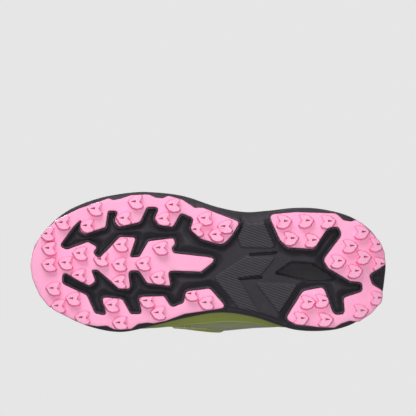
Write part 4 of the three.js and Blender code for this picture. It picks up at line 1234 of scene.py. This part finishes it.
def inflate(piece, voxel, pressure, most, frames=20):
    """Remeshes a pad and lets it swell as cloth under pressure, by no more than most metres."""
    select_only(piece)
    remesh = piece.modifiers.new("Remesh", "REMESH")
    remesh.mode, remesh.voxel_size, remesh.use_smooth_shade = "VOXEL", voxel, True
    bpy.ops.object.modifier_apply(modifier=remesh.name)
    keep_largest(piece)
    rest = mesh_points(piece.data)
    cloth = piece.modifiers.new("Cloth", "CLOTH")
    cloth.settings.quality = 5
    cloth.settings.use_pressure = True
    cloth.settings.uniform_pressure_force = pressure
    cloth.settings.effector_weights.gravity = 0
    cloth.settings.tension_stiffness = cloth.settings.compression_stiffness = 15
    cloth.point_cache.frame_start, cloth.point_cache.frame_end = 1, frames
    scene = bpy.context.scene
    for k in range(1, frames + 1):
        scene.frame_set(k)
    grown = mesh_points(piece.evaluated_get(bpy.context.evaluated_depsgraph_get()).to_mesh())
    piece.evaluated_get(bpy.context.evaluated_depsgraph_get()).to_mesh_clear()
    scene.frame_set(1)
    piece.modifiers.remove(cloth)
    moved = grown - rest
    length = np.maximum(np.linalg.norm(moved, axis=1, keepdims=True), 1e-12)
    set_points(piece.data, rest + moved / length * np.minimum(length, most))
    softer = piece.modifiers.new("Softer", "SUBSURF")
    softer.levels = softer.render_levels = 1
    bpy.ops.object.modifier_apply(modifier=softer.name)


# ---- Settings -----------------------------------------------------------------------------------
class ShoeSizes(bpy.types.PropertyGroup):
    """Sizes of the shoe's padding and surface detail."""

    rib_pitch: bpy.props.FloatProperty(
        name="Rib pitch", description="From rib to rib on the pads of the midfoot",
        default=0.0021, min=0.001, unit="LENGTH")
    mesh_pitch: bpy.props.FloatProperty(
        name="Mesh pitch", description="From hole to hole of the knitted mesh",
        default=0.0026, min=0.001, unit="LENGTH")
    collar_swell: bpy.props.FloatProperty(
        name="Collar swell", description="Most that the collar's padding bulges",
        default=0.0016, min=0, unit="LENGTH")
    tongue_swell: bpy.props.FloatProperty(
        name="Tongue swell", description="Most that the tongue's padding bulges",
        default=0.0007, min=0, unit="LENGTH")


class ShoeColours(bpy.types.PropertyGroup):
    """Colours of the shoe's materials."""

    rubber: bpy.props.FloatVectorProperty(
        name="Rubber", description="Ground face of the rubber tread", subtype="COLOR",
        min=0, max=1, default=linear(254, 186, 220)[:3])
    # A deeper pink: random tone on the rubber's faces, and painted shade on the walls of the lugs
    # and the sheets.
    rubber_shade_and_tone: bpy.props.FloatVectorProperty(
        name="Rubber walls", description="Side walls of the lugs and the sheets",
        subtype="COLOR", min=0, max=1, default=linear(246, 70, 142)[:3])
    foam: bpy.props.FloatVectorProperty(
        name="Foam", description="Midsole foam", subtype="COLOR",
        min=0, max=1, default=linear(37, 35, 41)[:3])
    mesh: bpy.props.FloatVectorProperty(
        name="Mesh", description="Knitted mesh of the upper", subtype="COLOR",
        min=0, max=1, default=linear(160, 168, 96)[:3])
    film: bpy.props.FloatVectorProperty(
        name="Film", description="Lime films and webbing", subtype="COLOR",
        min=0, max=1, default=linear(146, 158, 62)[:3])
    lace: bpy.props.FloatVectorProperty(
        name="Lace", description="Braided lace", subtype="COLOR",
        min=0, max=1, default=linear(240, 160, 192)[:3])


class ShoeStage(bpy.types.PropertyGroup):
    """Camera and light."""

    distance: bpy.props.FloatProperty(
        name="Camera distance", description="From the camera to the tread",
        default=1.5, min=0.3, unit="LENGTH")
    view_width: bpy.props.FloatProperty(
        name="View width", description="Width of the view at the tread",
        default=0.3307, min=0.1, unit="LENGTH")
    key_power: bpy.props.FloatProperty(
        name="Key light", description="Power of the main light",
        default=7.8, min=0, unit="POWER")
    fill_power: bpy.props.FloatProperty(
        name="Fill light", description="Power of the light beside the camera",
        default=8.0, min=0, unit="POWER")
    top_power: bpy.props.FloatProperty(
        name="Top light", description="Power of the light above the shoe",
        default=17, min=0, unit="POWER")
    ambient: bpy.props.FloatProperty(
        name="Ambient", description="Brightness of the light from all round",
        default=0.28, min=0)


# ---- Operators ----------------------------------------------------------------------------------
class SHOE_OT_stage(bpy.types.Operator):
    """Sets the camera, the lights and the pale floor"""

    bl_idname = "shoe.stage"
    bl_label = "Stage"

    def execute(self, context):
        settings = context.scene.shoe_stage
        scene = context.scene
        scene.view_settings.view_transform = "Standard"
        aim = Vector((0.0433 + SHIFT[0] / 1000, SHIFT[1] / 1000, 0.004))
        lens = bpy.data.cameras.new("Camera")
        lens.sensor_width = 36
        lens.lens = 36 * settings.distance / settings.view_width
        lens.clip_end = 20
        camera = bpy.data.objects.new("Camera", lens)
        axes = Matrix(((0, 1, 0), (1, 0, 0), (0, 0, -1)))
        stand = Matrix.Translation(aim - Vector((0, 0, settings.distance)))
        camera.matrix_world = stand @ axes.to_4x4()
        scene.collection.objects.link(camera)
        scene.camera = camera
        for name, place, size, power in (
                ("Key", (0.8, -0.25, -0.36), 0.7, settings.key_power),
                ("Fill", (-0.15, 0.1, -1.3), 0.9, settings.fill_power),
                ("Top", (0.15, -0.35, 1.1), 0.8, settings.top_power)):
            lamp = bpy.data.lights.new(name, "AREA")
            lamp.shape, lamp.size, lamp.energy = "DISK", size, power
            light = bpy.data.objects.new(name, lamp)
            toward = Vector((0, 0, 0.03)) - Vector(place)
            turn = toward.to_track_quat("-Z", "Y").to_matrix().to_4x4()
            light.matrix_world = Matrix.Translation(place) @ turn
            scene.collection.objects.link(light)
        self.make_world(scene, settings)
        self.make_floor()
        return {"FINISHED"}

    @staticmethod
    def make_world(scene, settings):
        world = bpy.data.worlds.new("Studio")
        world.use_nodes = True
        tree = world.node_tree
        backdrop = tree.nodes["Background"]
        backdrop.inputs[0].default_value = linear(230, 230, 230)
        around = tree.nodes.new("ShaderNodeBackground")
        around.inputs[0].default_value = (1, 1, 1, 1)
        around.inputs[1].default_value = settings.ambient
        path = tree.nodes.new("ShaderNodeLightPath")
        chosen = tree.nodes.new("ShaderNodeMixShader")
        tree.links.new(path.outputs["Is Camera Ray"], chosen.inputs[0])
        tree.links.new(around.outputs[0], chosen.inputs[1])
        tree.links.new(backdrop.outputs[0], chosen.inputs[2])
        tree.links.new(chosen.outputs[0], tree.nodes["World Output"].inputs[0])
        scene.world = world

    @staticmethod
    def make_floor():
        """The floor shows from above only, so the tread can be seen from below."""
        bpy.ops.object.select_all(action="DESELECT")
        bpy.ops.mesh.primitive_plane_add(size=6, location=(0, 0, -0.0002))
        floor = bpy.context.object
        floor.name = "Floor"
        floor.data.transform(floor.matrix_world)
        floor.matrix_world = Matrix.Identity(4)
        material = bpy.data.materials.new("Pale floor")
        material.use_nodes = True
        tree = material.node_tree
        tree.nodes.remove(tree.nodes["Principled BSDF"])
        place = put(tree, "TexCoord").outputs["Object"]
        noise = put(tree, "TexNoise", {"Vector": place, "Scale": 3.0})
        tone = blend_colours(tree, noise.outputs[0], linear(229, 229, 229), linear(232, 232, 232))
        near = put(tree, "AmbientOcclusion", {"Distance": 0.09}, samples=8)
        open_share = ramp(tree, near.outputs["AO"], 0.0, 1.0)
        shaded = blend_colours(tree, open_share, linear(112, 112, 114), tone)
        shader = put(tree, "Emission", {"Color": shaded, "Strength": 1.0})
        clear = tree.nodes.new("ShaderNodeBsdfTransparent")
        chosen = tree.nodes.new("ShaderNodeMixShader")
        side = tree.nodes.new("ShaderNodeNewGeometry")
        tree.links.new(side.outputs["Backfacing"], chosen.inputs[0])
        tree.links.new(shader.outputs[0], chosen.inputs[1])
        tree.links.new(clear.outputs[0], chosen.inputs[2])
        tree.links.new(chosen.outputs[0], tree.nodes["Material Output"].inputs[0])
        floor.data.materials.append(material)
        floor.visible_shadow = floor.visible_diffuse = floor.visible_glossy = False


class SHOE_OT_tread(bpy.types.Operator):
    """Moulds the two rubber sheets with their arrow-shaped lugs"""

    bl_idname = "shoe.tread"
    bl_label = "Rubber tread"

    def execute(self, context):
        for name, corners, lugs, pointing in (
                ("outsole_forefoot", FOREFOOT_CORNERS, FOREFOOT_LUGS, 1),
                ("outsole_heel", HEEL_CORNERS, HEEL_LUGS, -1)):
            points, faces, lay = sheet_of_rubber(corners, lugs, pointing)
            mesh = make_mesh(name + "_moulded", points, faces, lay)
            show_object(mesh, name + "_moulded", finish("rubber"), "shoe", [name],
                        38)
        return {"FINISHED"}


class SHOE_OT_midsole(bpy.types.Operator):
    """Moulds the foam midsole with its channels, pads, recess and grooved sides"""

    bl_idname = "shoe.midsole"
    bl_label = "Foam midsole"

    def execute(self, context):
        points, faces, lay = foam_body()
        mesh = make_mesh("midsole_foam", points, faces, lay)
        show_object(mesh, "midsole_foam", finish("foam"), "shoe", ["midsole"], 40)
        return {"FINISHED"}


class SHOE_OT_upper(bpy.types.Operator):
    """Stretches the knitted mesh of the upper over the foot"""

    bl_idname = "shoe.upper"
    bl_label = "Mesh upper"

    def execute(self, context):
        def outer(u, v, edge):
            puff = 0.25 * np.sin(u * 2 * np.pi * 9 + 3 * v) * np.sin(np.pi * v)
            puff = puff * np.sin(v * 17 + 4 * u)
            rim = 0.9 * np.sqrt(np.clip(1 - np.clip((v - 0.955) / 0.045, 0, 1) ** 2, 0, 1)) - 0.9
            return puff * 0.6 - 0.1 + rim

        def inner(u, v, edge):
            rim = 0.7 * np.sqrt(np.clip(1 - np.clip((v - 0.965) / 0.035, 0, 1) ** 2, 0, 1)) - 0.7
            return -UPPER_THICKNESS - rim

        mesh = skin_mesh("upper_knit", lambda a, b: (a, b), outer, inner, 420, 64, wraps=True)
        show_object(mesh, "upper_knit", finish("mesh"), "shoe", ["upper_mesh"])
        return {"FINISHED"}


def mirrored(place):
    def other(a, b):
        u, v = place(1 - a, b)
        return 1 - u, v
    return other


def toe_cap(a, b):
    return mix(-0.115, 0.115, a), mix(0.015, 0.3 + 0.12 * np.cos(np.pi * (a - 0.5)), b)


def rand(a, b):
    return mix(0.12, 0.395, a), mix(0.015, mix(0.24, 0.2, a) - 0.04 * np.sin(np.pi * a), b)


def counter(a, b):
    return mix(0.4, 0.6, a), mix(0.015, 0.34 + 0.26 * np.sin(np.pi * a), b)


def eyestay(a, b):
    return mix(0.012, 0.328, a), mix(0.8, 0.985, b)


def saddle(a, b):
    return mix(0.19, 0.25, a) + 0.035 * b, mix(0.26, 0.77, b)


def eased_corners(place, ease=0.12):
    """The same place with its corners drawn in, as on a cut film."""
    def eased(a, b):
        x, y = 2 * a - 1, 2 * b - 1
        near_x, near_y = x * (1 - ease * y ** 4 * np.abs(x)), y * (1 - ease * x ** 8 * np.abs(y))
        return place((near_x + 1) / 2, (near_y + 1) / 2)
    return eased


class SHOE_OT_overlays(bpy.types.Operator):
    """Bonds the films to the upper: toe cap, rands, heel counter, eyestays and saddles"""

    bl_idname = "shoe.overlays"
    bl_label = "Bonded films"

    def execute(self, context):
        thin = lambda u, v, edge: film(edge)
        for name, place, columns, rows, look, slot in (
                ("toe_cap", toe_cap, 120, 36, "black_film", "black_film"),
                ("heel_counter", counter, 110, 40, "black_film", "black_film"),
                ("rand_lateral", rand, 150, 22, "lime_film", "lime_film"),
                ("rand_medial", mirrored(rand), 150, 22, "lime_film", "lime_film"),
                ("eyestay_lateral", eyestay, 150, 20, "lime_film", "lime_film"),
                ("eyestay_medial", mirrored(eyestay), 150, 20, "lime_film", "lime_film"),
                ("saddle_lateral", saddle, 44, 56, "lime_film", "lime_film"),
                ("saddle_medial", mirrored(saddle), 44, 56, "lime_film", "lime_film")):
            mesh = skin_mesh(name + "_film", eased_corners(place), thin, 0.05, columns, rows)
            show_object(mesh, name + "_film", finish(look), "shoe", [name], 60)
        return {"FINISHED"}


class SHOE_OT_collar(bpy.types.Operator):
    """Pads the collar and lines it"""

    bl_idname = "shoe.collar"
    bl_label = "Padded collar"

    def execute(self, context):
        low, high = 0.33, 0.67
        face = -UPPER_THICKNESS - OVERLAY_GAP

        def depth(u):
            ramp_in = smooth(u, low, low + 0.06) * smooth(-u, -high, -high + 0.06)
            return mix(1.2, COLLAR_PADDING, ramp_in)

        place = lambda a, b: (mix(low, high, a), mix(0.5, 0.985, b))

        def inner(u, v, edge):
            crown = np.sin(np.pi * np.clip((v - 0.56) / 0.42, 0, 1)) ** 0.7
            return face - LINING_THICKNESS - (depth(u) - 0.4) * crown

        mesh = skin_mesh("collar_pad", place, face - 0.1, inner, 110, 30)
        pad = show_object(mesh, "collar_pad", finish("lining"), "shoe")
        inflate(pad, 0.0019, 4.0, context.scene.shoe_sizes.collar_swell)
        finish_piece(pad, "shoe", ["collar_foam", "collar_lining"])
        return {"FINISHED"}


class SHOE_OT_tongue(bpy.types.Operator):
    """Pads the tongue and sews its tab on"""

    bl_idname = "shoe.tongue"
    bl_label = "Tongue"

    def execute(self, context):
        a, b = np.meshgrid(np.linspace(0, 1, 91), np.linspace(1, -1, 37), indexing="ij")
        side = 1 - np.abs(b) ** 2.6
        end = np.clip(np.minimum(a, 1 - a) / 0.05, 0, 1) ** 0.5
        plump = 0.45 + 0.55 * side * end
        channels = 0.55 * np.exp(-((np.abs(b) - 0.56) / 0.07) ** 2)
        channels = channels + 0.35 * np.exp(-(b / 0.05) ** 2)
        half = TONGUE_THICKNESS / 2 * 0.86
        top = tongue_point(a, b * 0.97, TONGUE_THICKNESS / 2 - half * plump + channels * end)
        under = tongue_point(a, b * 0.97, TONGUE_THICKNESS / 2 + half * plump)
        lay = np.stack(np.broadcast_arrays(a * 150, b * 24, 0.0), -1)
        mesh = grid_skin("tongue_pad", top, under, lay, False)
        pad = show_object(mesh, "tongue_pad", finish("tongue"), "tongue_body")
        inflate(pad, 0.0016, 3.0, context.scene.shoe_sizes.tongue_swell)
        finish_piece(pad, "tongue_body", ["tongue"])
        self.sew_tab()
        return {"FINISHED"}

    @staticmethod
    def sew_tab():
        low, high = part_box("tongue_tab")
        centre, size = (low + high) / 2, high - low
        bpy.ops.object.select_all(action="DESELECT")
        bpy.ops.mesh.primitive_cube_add(size=1, location=centre)
        tab = bpy.context.object
        tab.name = "tongue_label"
        ahead = spline(TONGUE_LINE, 1.0, False) - spline(TONGUE_LINE, 0.9995, False)
        tilt = math.atan2(ahead[2], ahead[1]) - math.pi / 2
        tab.scale = (size.x, TAB_THICKNESS / 1000, TAB_HEIGHT / 1000)
        tab.rotation_euler = (tilt, 0, 0)
        tab.location += Vector((0, math.sin(tilt), -math.cos(tilt))) * (TAB_DROP / 1000)
        bpy.ops.object.transform_apply(location=True, rotation=True, scale=True)
        bpy.ops.object.mode_set(mode="EDIT")
        bpy.ops.mesh.select_all(action="SELECT")
        bpy.ops.mesh.subdivide(number_cuts=3)
        bpy.ops.mesh.bevel(offset=0.0004, segments=2, affect="EDGES")
        bpy.ops.object.mode_set(mode="OBJECT")
        round_off = tab.modifiers.new("Round", "SUBSURF")
        round_off.levels = round_off.render_levels = 1
        bpy.ops.object.modifier_apply(modifier=round_off.name)
        points = mesh_points(tab.data) * 1000
        middle = np.array(centre) * 1000
        up = np.array([0, -math.sin(tilt), math.cos(tilt)])
        x, h = points[:, 0] - middle[0], (points - middle) @ up
        edge = np.minimum(size.x * 500 - np.abs(x), 7 - np.abs(h))
        set_lay(tab.data, np.column_stack([x + 20, h + 20, np.clip(edge, 0, None)]))
        tab.data.materials.append(finish("lime_film"))
        finish_piece(tab, "tongue_body", ["tongue_tab"], 60)


class SHOE_OT_inside(bpy.types.Operator):
    """Lays the sewn board and the shaped insole inside"""

    bl_idname = "shoe.inside"
    bl_label = "Board and insole"

    def execute(self, context):
        board_inset = UPPER_INSET + UPPER_THICKNESS + 2 * GAP
        board_low = lambda y: foam_top(y) + GAP
        for name, inset, low, thick, cup, look, slot, body, node in (
                ("lasting_board", board_inset, board_low, BOARD_THICKNESS, 0.0, "board",
                 "board_felt", "shoe", "strobel_board"),
                ("insole_pad", board_inset + 5, lambda y: board_low(y) + BOARD_THICKNESS + GAP,
                 INSOLE_THICKNESS - 1.2, 1.1, "insole", "insole_fabric", "insole", "sockliner")):
            mesh = self.plate(name, inset, low, thick, cup)
            piece = show_object(mesh, name, finish(look), body, [node], 50)
        return {"FINISHED"}

    @staticmethod
    def plate(name, inset, low, thick, cup):
        u = np.arange(240) / 240
        outline = sole_edge(u, inset)[0]
        rings = [offset_outline(outline, -d) for d in (0.4, 1.1, 2.4, 5, 8, 12)]
        xy, faces = triangulate_plan(outline, rings, grid_points(outline, 3.0, 14))
        edge = np.clip(outline_distance(xy, outline), 0, None)
        y = xy[:, 1]
        round_over = np.sqrt(np.clip(1 - (1 - np.clip(edge / 1.1, 0.02, 1)) ** 2, 0, 1))
        rise = cup * (1 - smooth(edge, 1.0, 11)) * (0.5 + 0.5 * smooth(y, -20, 60))
        heel_dip = -0.5 * cup * np.exp(-((xy[:, 0] + 5) ** 2 + (y - 95) ** 2) / 900)
        top = low(y) + 0.35 * thick + (0.65 * thick + rise + heel_dip) * round_over
        base = low(y) + 0.35 * thick * (1 - round_over)
        count = len(xy)
        points = np.vstack([np.column_stack([xy, top]), np.column_stack([xy, base])])
        rim = rim_of(faces)
        sides = [(count + rim[k], count + rim[(k + 1) % len(rim)], rim[(k + 1) % len(rim)], rim[k])
                 for k in range(len(rim))]
        under = [tuple(count + i for i in reversed(f)) for f in faces]
        lay = np.column_stack([np.tile(xy + 200, (2, 1)), np.tile(edge, 2)])
        return make_mesh(name, points, [tuple(f) for f in faces] + under + sides, lay)


class SHOE_OT_lace(bpy.types.Operator):
    """Threads the braided lace, ties its bow and crimps its tips"""

    bl_idname = "shoe.lace"
    bl_label = "Lace"

    def execute(self, context):
        first, second = strand(True, 0), strand(False, 1)
        low, high = LOOP_TURNS[0], 1 - LOOP_TURNS[0]
        bar = [over_edge(low, low - BAR_REACH, 0), crossing(low, high, 0),
               over_edge(high, high + BAR_REACH, 0)]
        runs = [[KNOT, *first[::-1], *bar, *second, KNOT]]
        tails = []
        for side in (1, -1):
            bow, tail = lace_ends(side)
            runs += [bow, tail]
            tails.append(tail)
        t = np.linspace(0, 1, 40)[:-1] * 2 * np.pi
        wrap = np.stack([5.6 * np.sin(t), 1.9 * np.cos(t), 2.9 * np.cos(t) - 0.2], 1)
        for lean in (-1.1, 1.1):
            turns = KNOT + wrap * [0.62, 1.0, 0.85] + [lean, 0.5 * lean, 0.2]
            runs.append([*turns, KNOT + wrap[0] * 0.5])
        points, faces, lays = [], [], []
        start = 0
        for run in runs:
            grid, lay = sweep(run, LACE_RADIUS, 14, 0.55, 0.86)
            p, f, l = tube_parts(grid, lay, start)
            points.append(p)
            faces.extend(f)
            lays.append(l)
            start += len(p)
        mesh = make_mesh("braided_lace", np.vstack(points), faces, np.vstack(lays))
        show_object(mesh, "braided_lace", finish("lace"), "shoe", ["lace"])
        for side, tail in zip(("lateral", "medial"), tails):
            self.crimp_tip(side, tail)
        return {"FINISHED"}

    @staticmethod
    def crimp_tip(side, tail):
        """A tube pinched in three places, with a rounded end."""
        line = spline(tail, np.array([0.999, 1.0]), False, True)
        way = Vector(unit(line[1] - line[0]))
        bpy.ops.object.select_all(action="DESELECT")
        bpy.ops.mesh.primitive_circle_add(vertices=20, radius=TIP_RADIUS / 1000,
                                          fill_type="NGON", location=(0, 0, 0))
        tip = bpy.context.object
        tip.name = f"lace_tip_{side}"
        bpy.ops.object.mode_set(mode="EDIT")
        bpy.ops.mesh.select_all(action="SELECT")
        for climb, size in TIP_PROFILE:
            bpy.ops.mesh.extrude_region_move(TRANSFORM_OT_translate={"value": (0, 0, climb / 1000)})
            bpy.ops.transform.resize(value=(size, size, 1))
        bpy.ops.mesh.select_all(action="SELECT")
        bpy.ops.mesh.normals_make_consistent(inside=False)
        bpy.ops.object.mode_set(mode="OBJECT")
        begin = Vector((np.asarray(tail[-1]) + SHIFT) / 1000) + way * 0.0006
        turn = way.to_track_quat("Z", "Y").to_matrix().to_4x4()
        tip.data.transform(Matrix.Translation(begin) @ turn)
        tip.data.materials.append(finish("tip"))
        finish_piece(tip, "shoe", [f"aglet_{side}"], 40)


class SHOE_OT_loops(bpy.types.Operator):
    """Sews the twelve webbing loops that hold the lace"""

    bl_idname = "shoe.loops"
    bl_label = "Lace loops"

    def execute(self, context):
        strap = self.bend_strap()
        for row, turn in enumerate(LOOP_TURNS):
            for side, u in (("lateral", turn), ("medial", 1 - turn)):
                along, across, out = upper_axes(np.array(u), np.array(LOOP_V))
                foot = upper_surface(np.array(u), np.array(LOOP_V)) + out * (OVERLAY_TOP + GAP)
                axes = Matrix(np.column_stack([across, out, along]).tolist()).to_4x4()
                mesh = strap.data.copy()
                mesh.transform(Matrix.Translation(Vector((foot + SHIFT) / 1000)) @ axes)
                name = f"lace_loop_{side}_{row + 1}"
                show_object(mesh, name + "_webbing", finish("webbing"), "shoe", [name],
                            50)
        bpy.data.objects.remove(strap)
        return {"FINISHED"}

    @staticmethod
    def bend_strap():
        """One strap, spun into an arch from a small flat end."""
        half = LACE_RADIUS + 4 * LACE_CLEARANCE + STRAP_THICKNESS / 2
        tall = 2 * LACE_RADIUS + 3.4 * LACE_CLEARANCE + STRAP_THICKNESS / 2
        bpy.ops.object.select_all(action="DESELECT")
        bpy.ops.mesh.primitive_plane_add(size=0.001, location=(0, 0, 0))
        strap = bpy.context.object
        strap.data.transform(Matrix.Translation((half / 1000, 0, 0))
                             @ Matrix.Rotation(math.pi / 2, 4, "X")
                             @ Matrix.Diagonal((STRAP_THICKNESS, LOOP_WIDTH, 1, 1)))
        strap.location = (0, 0, 0)
        bpy.ops.object.mode_set(mode="EDIT")
        bpy.ops.mesh.select_all(action="SELECT")
        bpy.ops.mesh.spin(steps=18, angle=math.pi, center=(0, 0, 0), axis=(0, 0, 1))
        bpy.ops.mesh.select_all(action="SELECT")
        bpy.ops.mesh.remove_doubles(threshold=1e-6)
        bpy.ops.object.mode_set(mode="OBJECT")
        points = mesh_points(strap.data)
        if points[:, 1].min() < -1e-5:
            points[:, 1] *= -1
        angle = np.arctan2(points[:, 1], points[:, 0])
        set_lay(strap.data, np.column_stack([angle * half + 5, points[:, 2] * 1000 + 5,
                                             LOOP_WIDTH / 2 - np.abs(points[:, 2] * 1000)]))
        points[:, 1] *= tall / half
        points[:, 1] -= 0.0004
        set_points(strap.data, points)
        bpy.ops.object.mode_set(mode="EDIT")
        bpy.ops.mesh.select_all(action="SELECT")
        bpy.ops.mesh.normals_make_consistent(inside=False)
        bpy.ops.object.mode_set(mode="OBJECT")
        select_only(strap)
        soften = strap.modifiers.new("Edges", "BEVEL")
        soften.width, soften.segments, soften.limit_method = 0.00028, 2, "ANGLE"
        bpy.ops.object.modifier_apply(modifier=soften.name)
        return strap


class SHOE_OT_pull_loop(bpy.types.Operator):
    """Sews the webbing loop at the back of the collar"""

    bl_idname = "shoe.pull_loop"
    bl_label = "Heel pull loop"

    def execute(self, context):
        low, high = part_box("heel_pull_loop")
        centre = (low + high) / 2
        bottom = centre.z - PULL_LOOP_HEIGHT / 2000
        half_width = PULL_LOOP_WIDTH / 2000
        bpy.ops.object.select_all(action="DESELECT")
        middle_radius = (PULL_LOOP_RADIUS - PULL_LOOP_WALL / 2) / 1000
        bpy.ops.mesh.primitive_circle_add(vertices=40, radius=middle_radius, location=(0, 0, 0))
        loop = bpy.context.object
        loop.name = "heel_webbing"
        loop.data.transform(Matrix.Translation((centre.x - half_width, centre.y, bottom))
                            @ Matrix.Rotation(math.pi / 2, 4, "Y")
                            @ Matrix.Rotation(math.pi / 80, 4, "Z"))
        bpy.ops.object.mode_set(mode="EDIT")
        bpy.ops.mesh.select_all(action="DESELECT")
        bpy.ops.mesh.select_mode(type="VERT")
        bpy.ops.object.mode_set(mode="OBJECT")
        for point in loop.data.vertices:
            point.select = point.co.z > bottom
        bpy.ops.object.mode_set(mode="EDIT")
        bpy.ops.transform.translate(value=(0, 0, PULL_LOOP_HEIGHT / 1000))
        bpy.ops.mesh.select_all(action="SELECT")
        bpy.ops.mesh.extrude_region_move(TRANSFORM_OT_translate={"value": (2 * half_width, 0, 0)})
        bpy.ops.mesh.select_all(action="SELECT")
        bpy.ops.mesh.normals_make_consistent(inside=False)
        bpy.ops.object.mode_set(mode="OBJECT")
        select_only(loop)
        thicken = loop.modifiers.new("Thickness", "SOLIDIFY")
        thicken.thickness, thicken.offset = PULL_LOOP_WALL / 1000, 0
        bpy.ops.object.modifier_apply(modifier=thicken.name)
        soften = loop.modifiers.new("Edges", "BEVEL")
        soften.width, soften.segments, soften.limit_method = 0.0004, 2, "ANGLE"
        soften.angle_limit = math.radians(50)
        bpy.ops.object.modifier_apply(modifier=soften.name)
        points = (mesh_points(loop.data) - np.array([centre.x, centre.y, bottom])) * 1000
        # Below the bend the webbing's two layers come together and run down into the collar's seam.
        below = np.clip(-points[:, 2] / PULL_LOOP_RADIUS, 0, 1)
        stretched = points * np.column_stack([below * 0 + 1, 1 - 0.55 * below, 1 + 0.6 * below])
        set_points(loop.data, stretched / 1000 + np.array([centre.x, centre.y, bottom]))
        height = np.clip(points[:, 2], 0, PULL_LOOP_HEIGHT)
        angle = np.arctan2(points[:, 2] - height, points[:, 1])
        along = np.where(points[:, 1] >= 0, 1, -1) * (height - PULL_LOOP_HEIGHT / 2) + angle * 4.4
        edge = PULL_LOOP_WIDTH / 2 - np.abs(points[:, 0])
        set_lay(loop.data, np.column_stack([along + 60, points[:, 0] + 20, edge]))
        loop.data.materials.append(finish("webbing"))
        finish_piece(loop, "pull_loop", ["heel_pull_loop"], 50)
        return {"FINISHED"}


# ---- Panel and registration ---------------------------------------------------------------------
STEPS = (SHOE_OT_stage, SHOE_OT_lace, SHOE_OT_tread, SHOE_OT_midsole, SHOE_OT_inside, SHOE_OT_upper,
         SHOE_OT_overlays, SHOE_OT_collar, SHOE_OT_tongue, SHOE_OT_loops, SHOE_OT_pull_loop)


class SHOE_PT_panel(bpy.types.Panel):
    """Lists the steps and settings of the shoe"""

    bl_idname = "SHOE_PT_panel"
    bl_label = "Running Shoe"
    bl_space_type = "VIEW_3D"
    bl_region_type = "UI"
    bl_category = "Shoe"

    def draw(self, context):
        for step in STEPS:
            self.layout.operator(step.bl_idname)
        scene = context.scene
        for group in (scene.shoe_sizes, scene.shoe_colours, scene.shoe_stage):
            for name in group.__annotations__:
                self.layout.prop(group, name)


CLASSES = (ShoeSizes, ShoeColours, ShoeStage, *STEPS, SHOE_PT_panel)


def register():
    for cls in CLASSES:
        bpy.utils.register_class(cls)
    bpy.types.Scene.shoe_sizes = bpy.props.PointerProperty(type=ShoeSizes)
    bpy.types.Scene.shoe_colours = bpy.props.PointerProperty(type=ShoeColours)
    bpy.types.Scene.shoe_stage = bpy.props.PointerProperty(type=ShoeStage)


def unregister():
    del bpy.types.Scene.shoe_stage
    del bpy.types.Scene.shoe_colours
    del bpy.types.Scene.shoe_sizes
    for cls in reversed(CLASSES):
        bpy.utils.unregister_class(cls)


def main():
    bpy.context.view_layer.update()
    register()
    for step in STEPS:
        family, name = step.bl_idname.split(".")
        getattr(getattr(bpy.ops, family), name)()


if __name__ == "__main__":
    main()
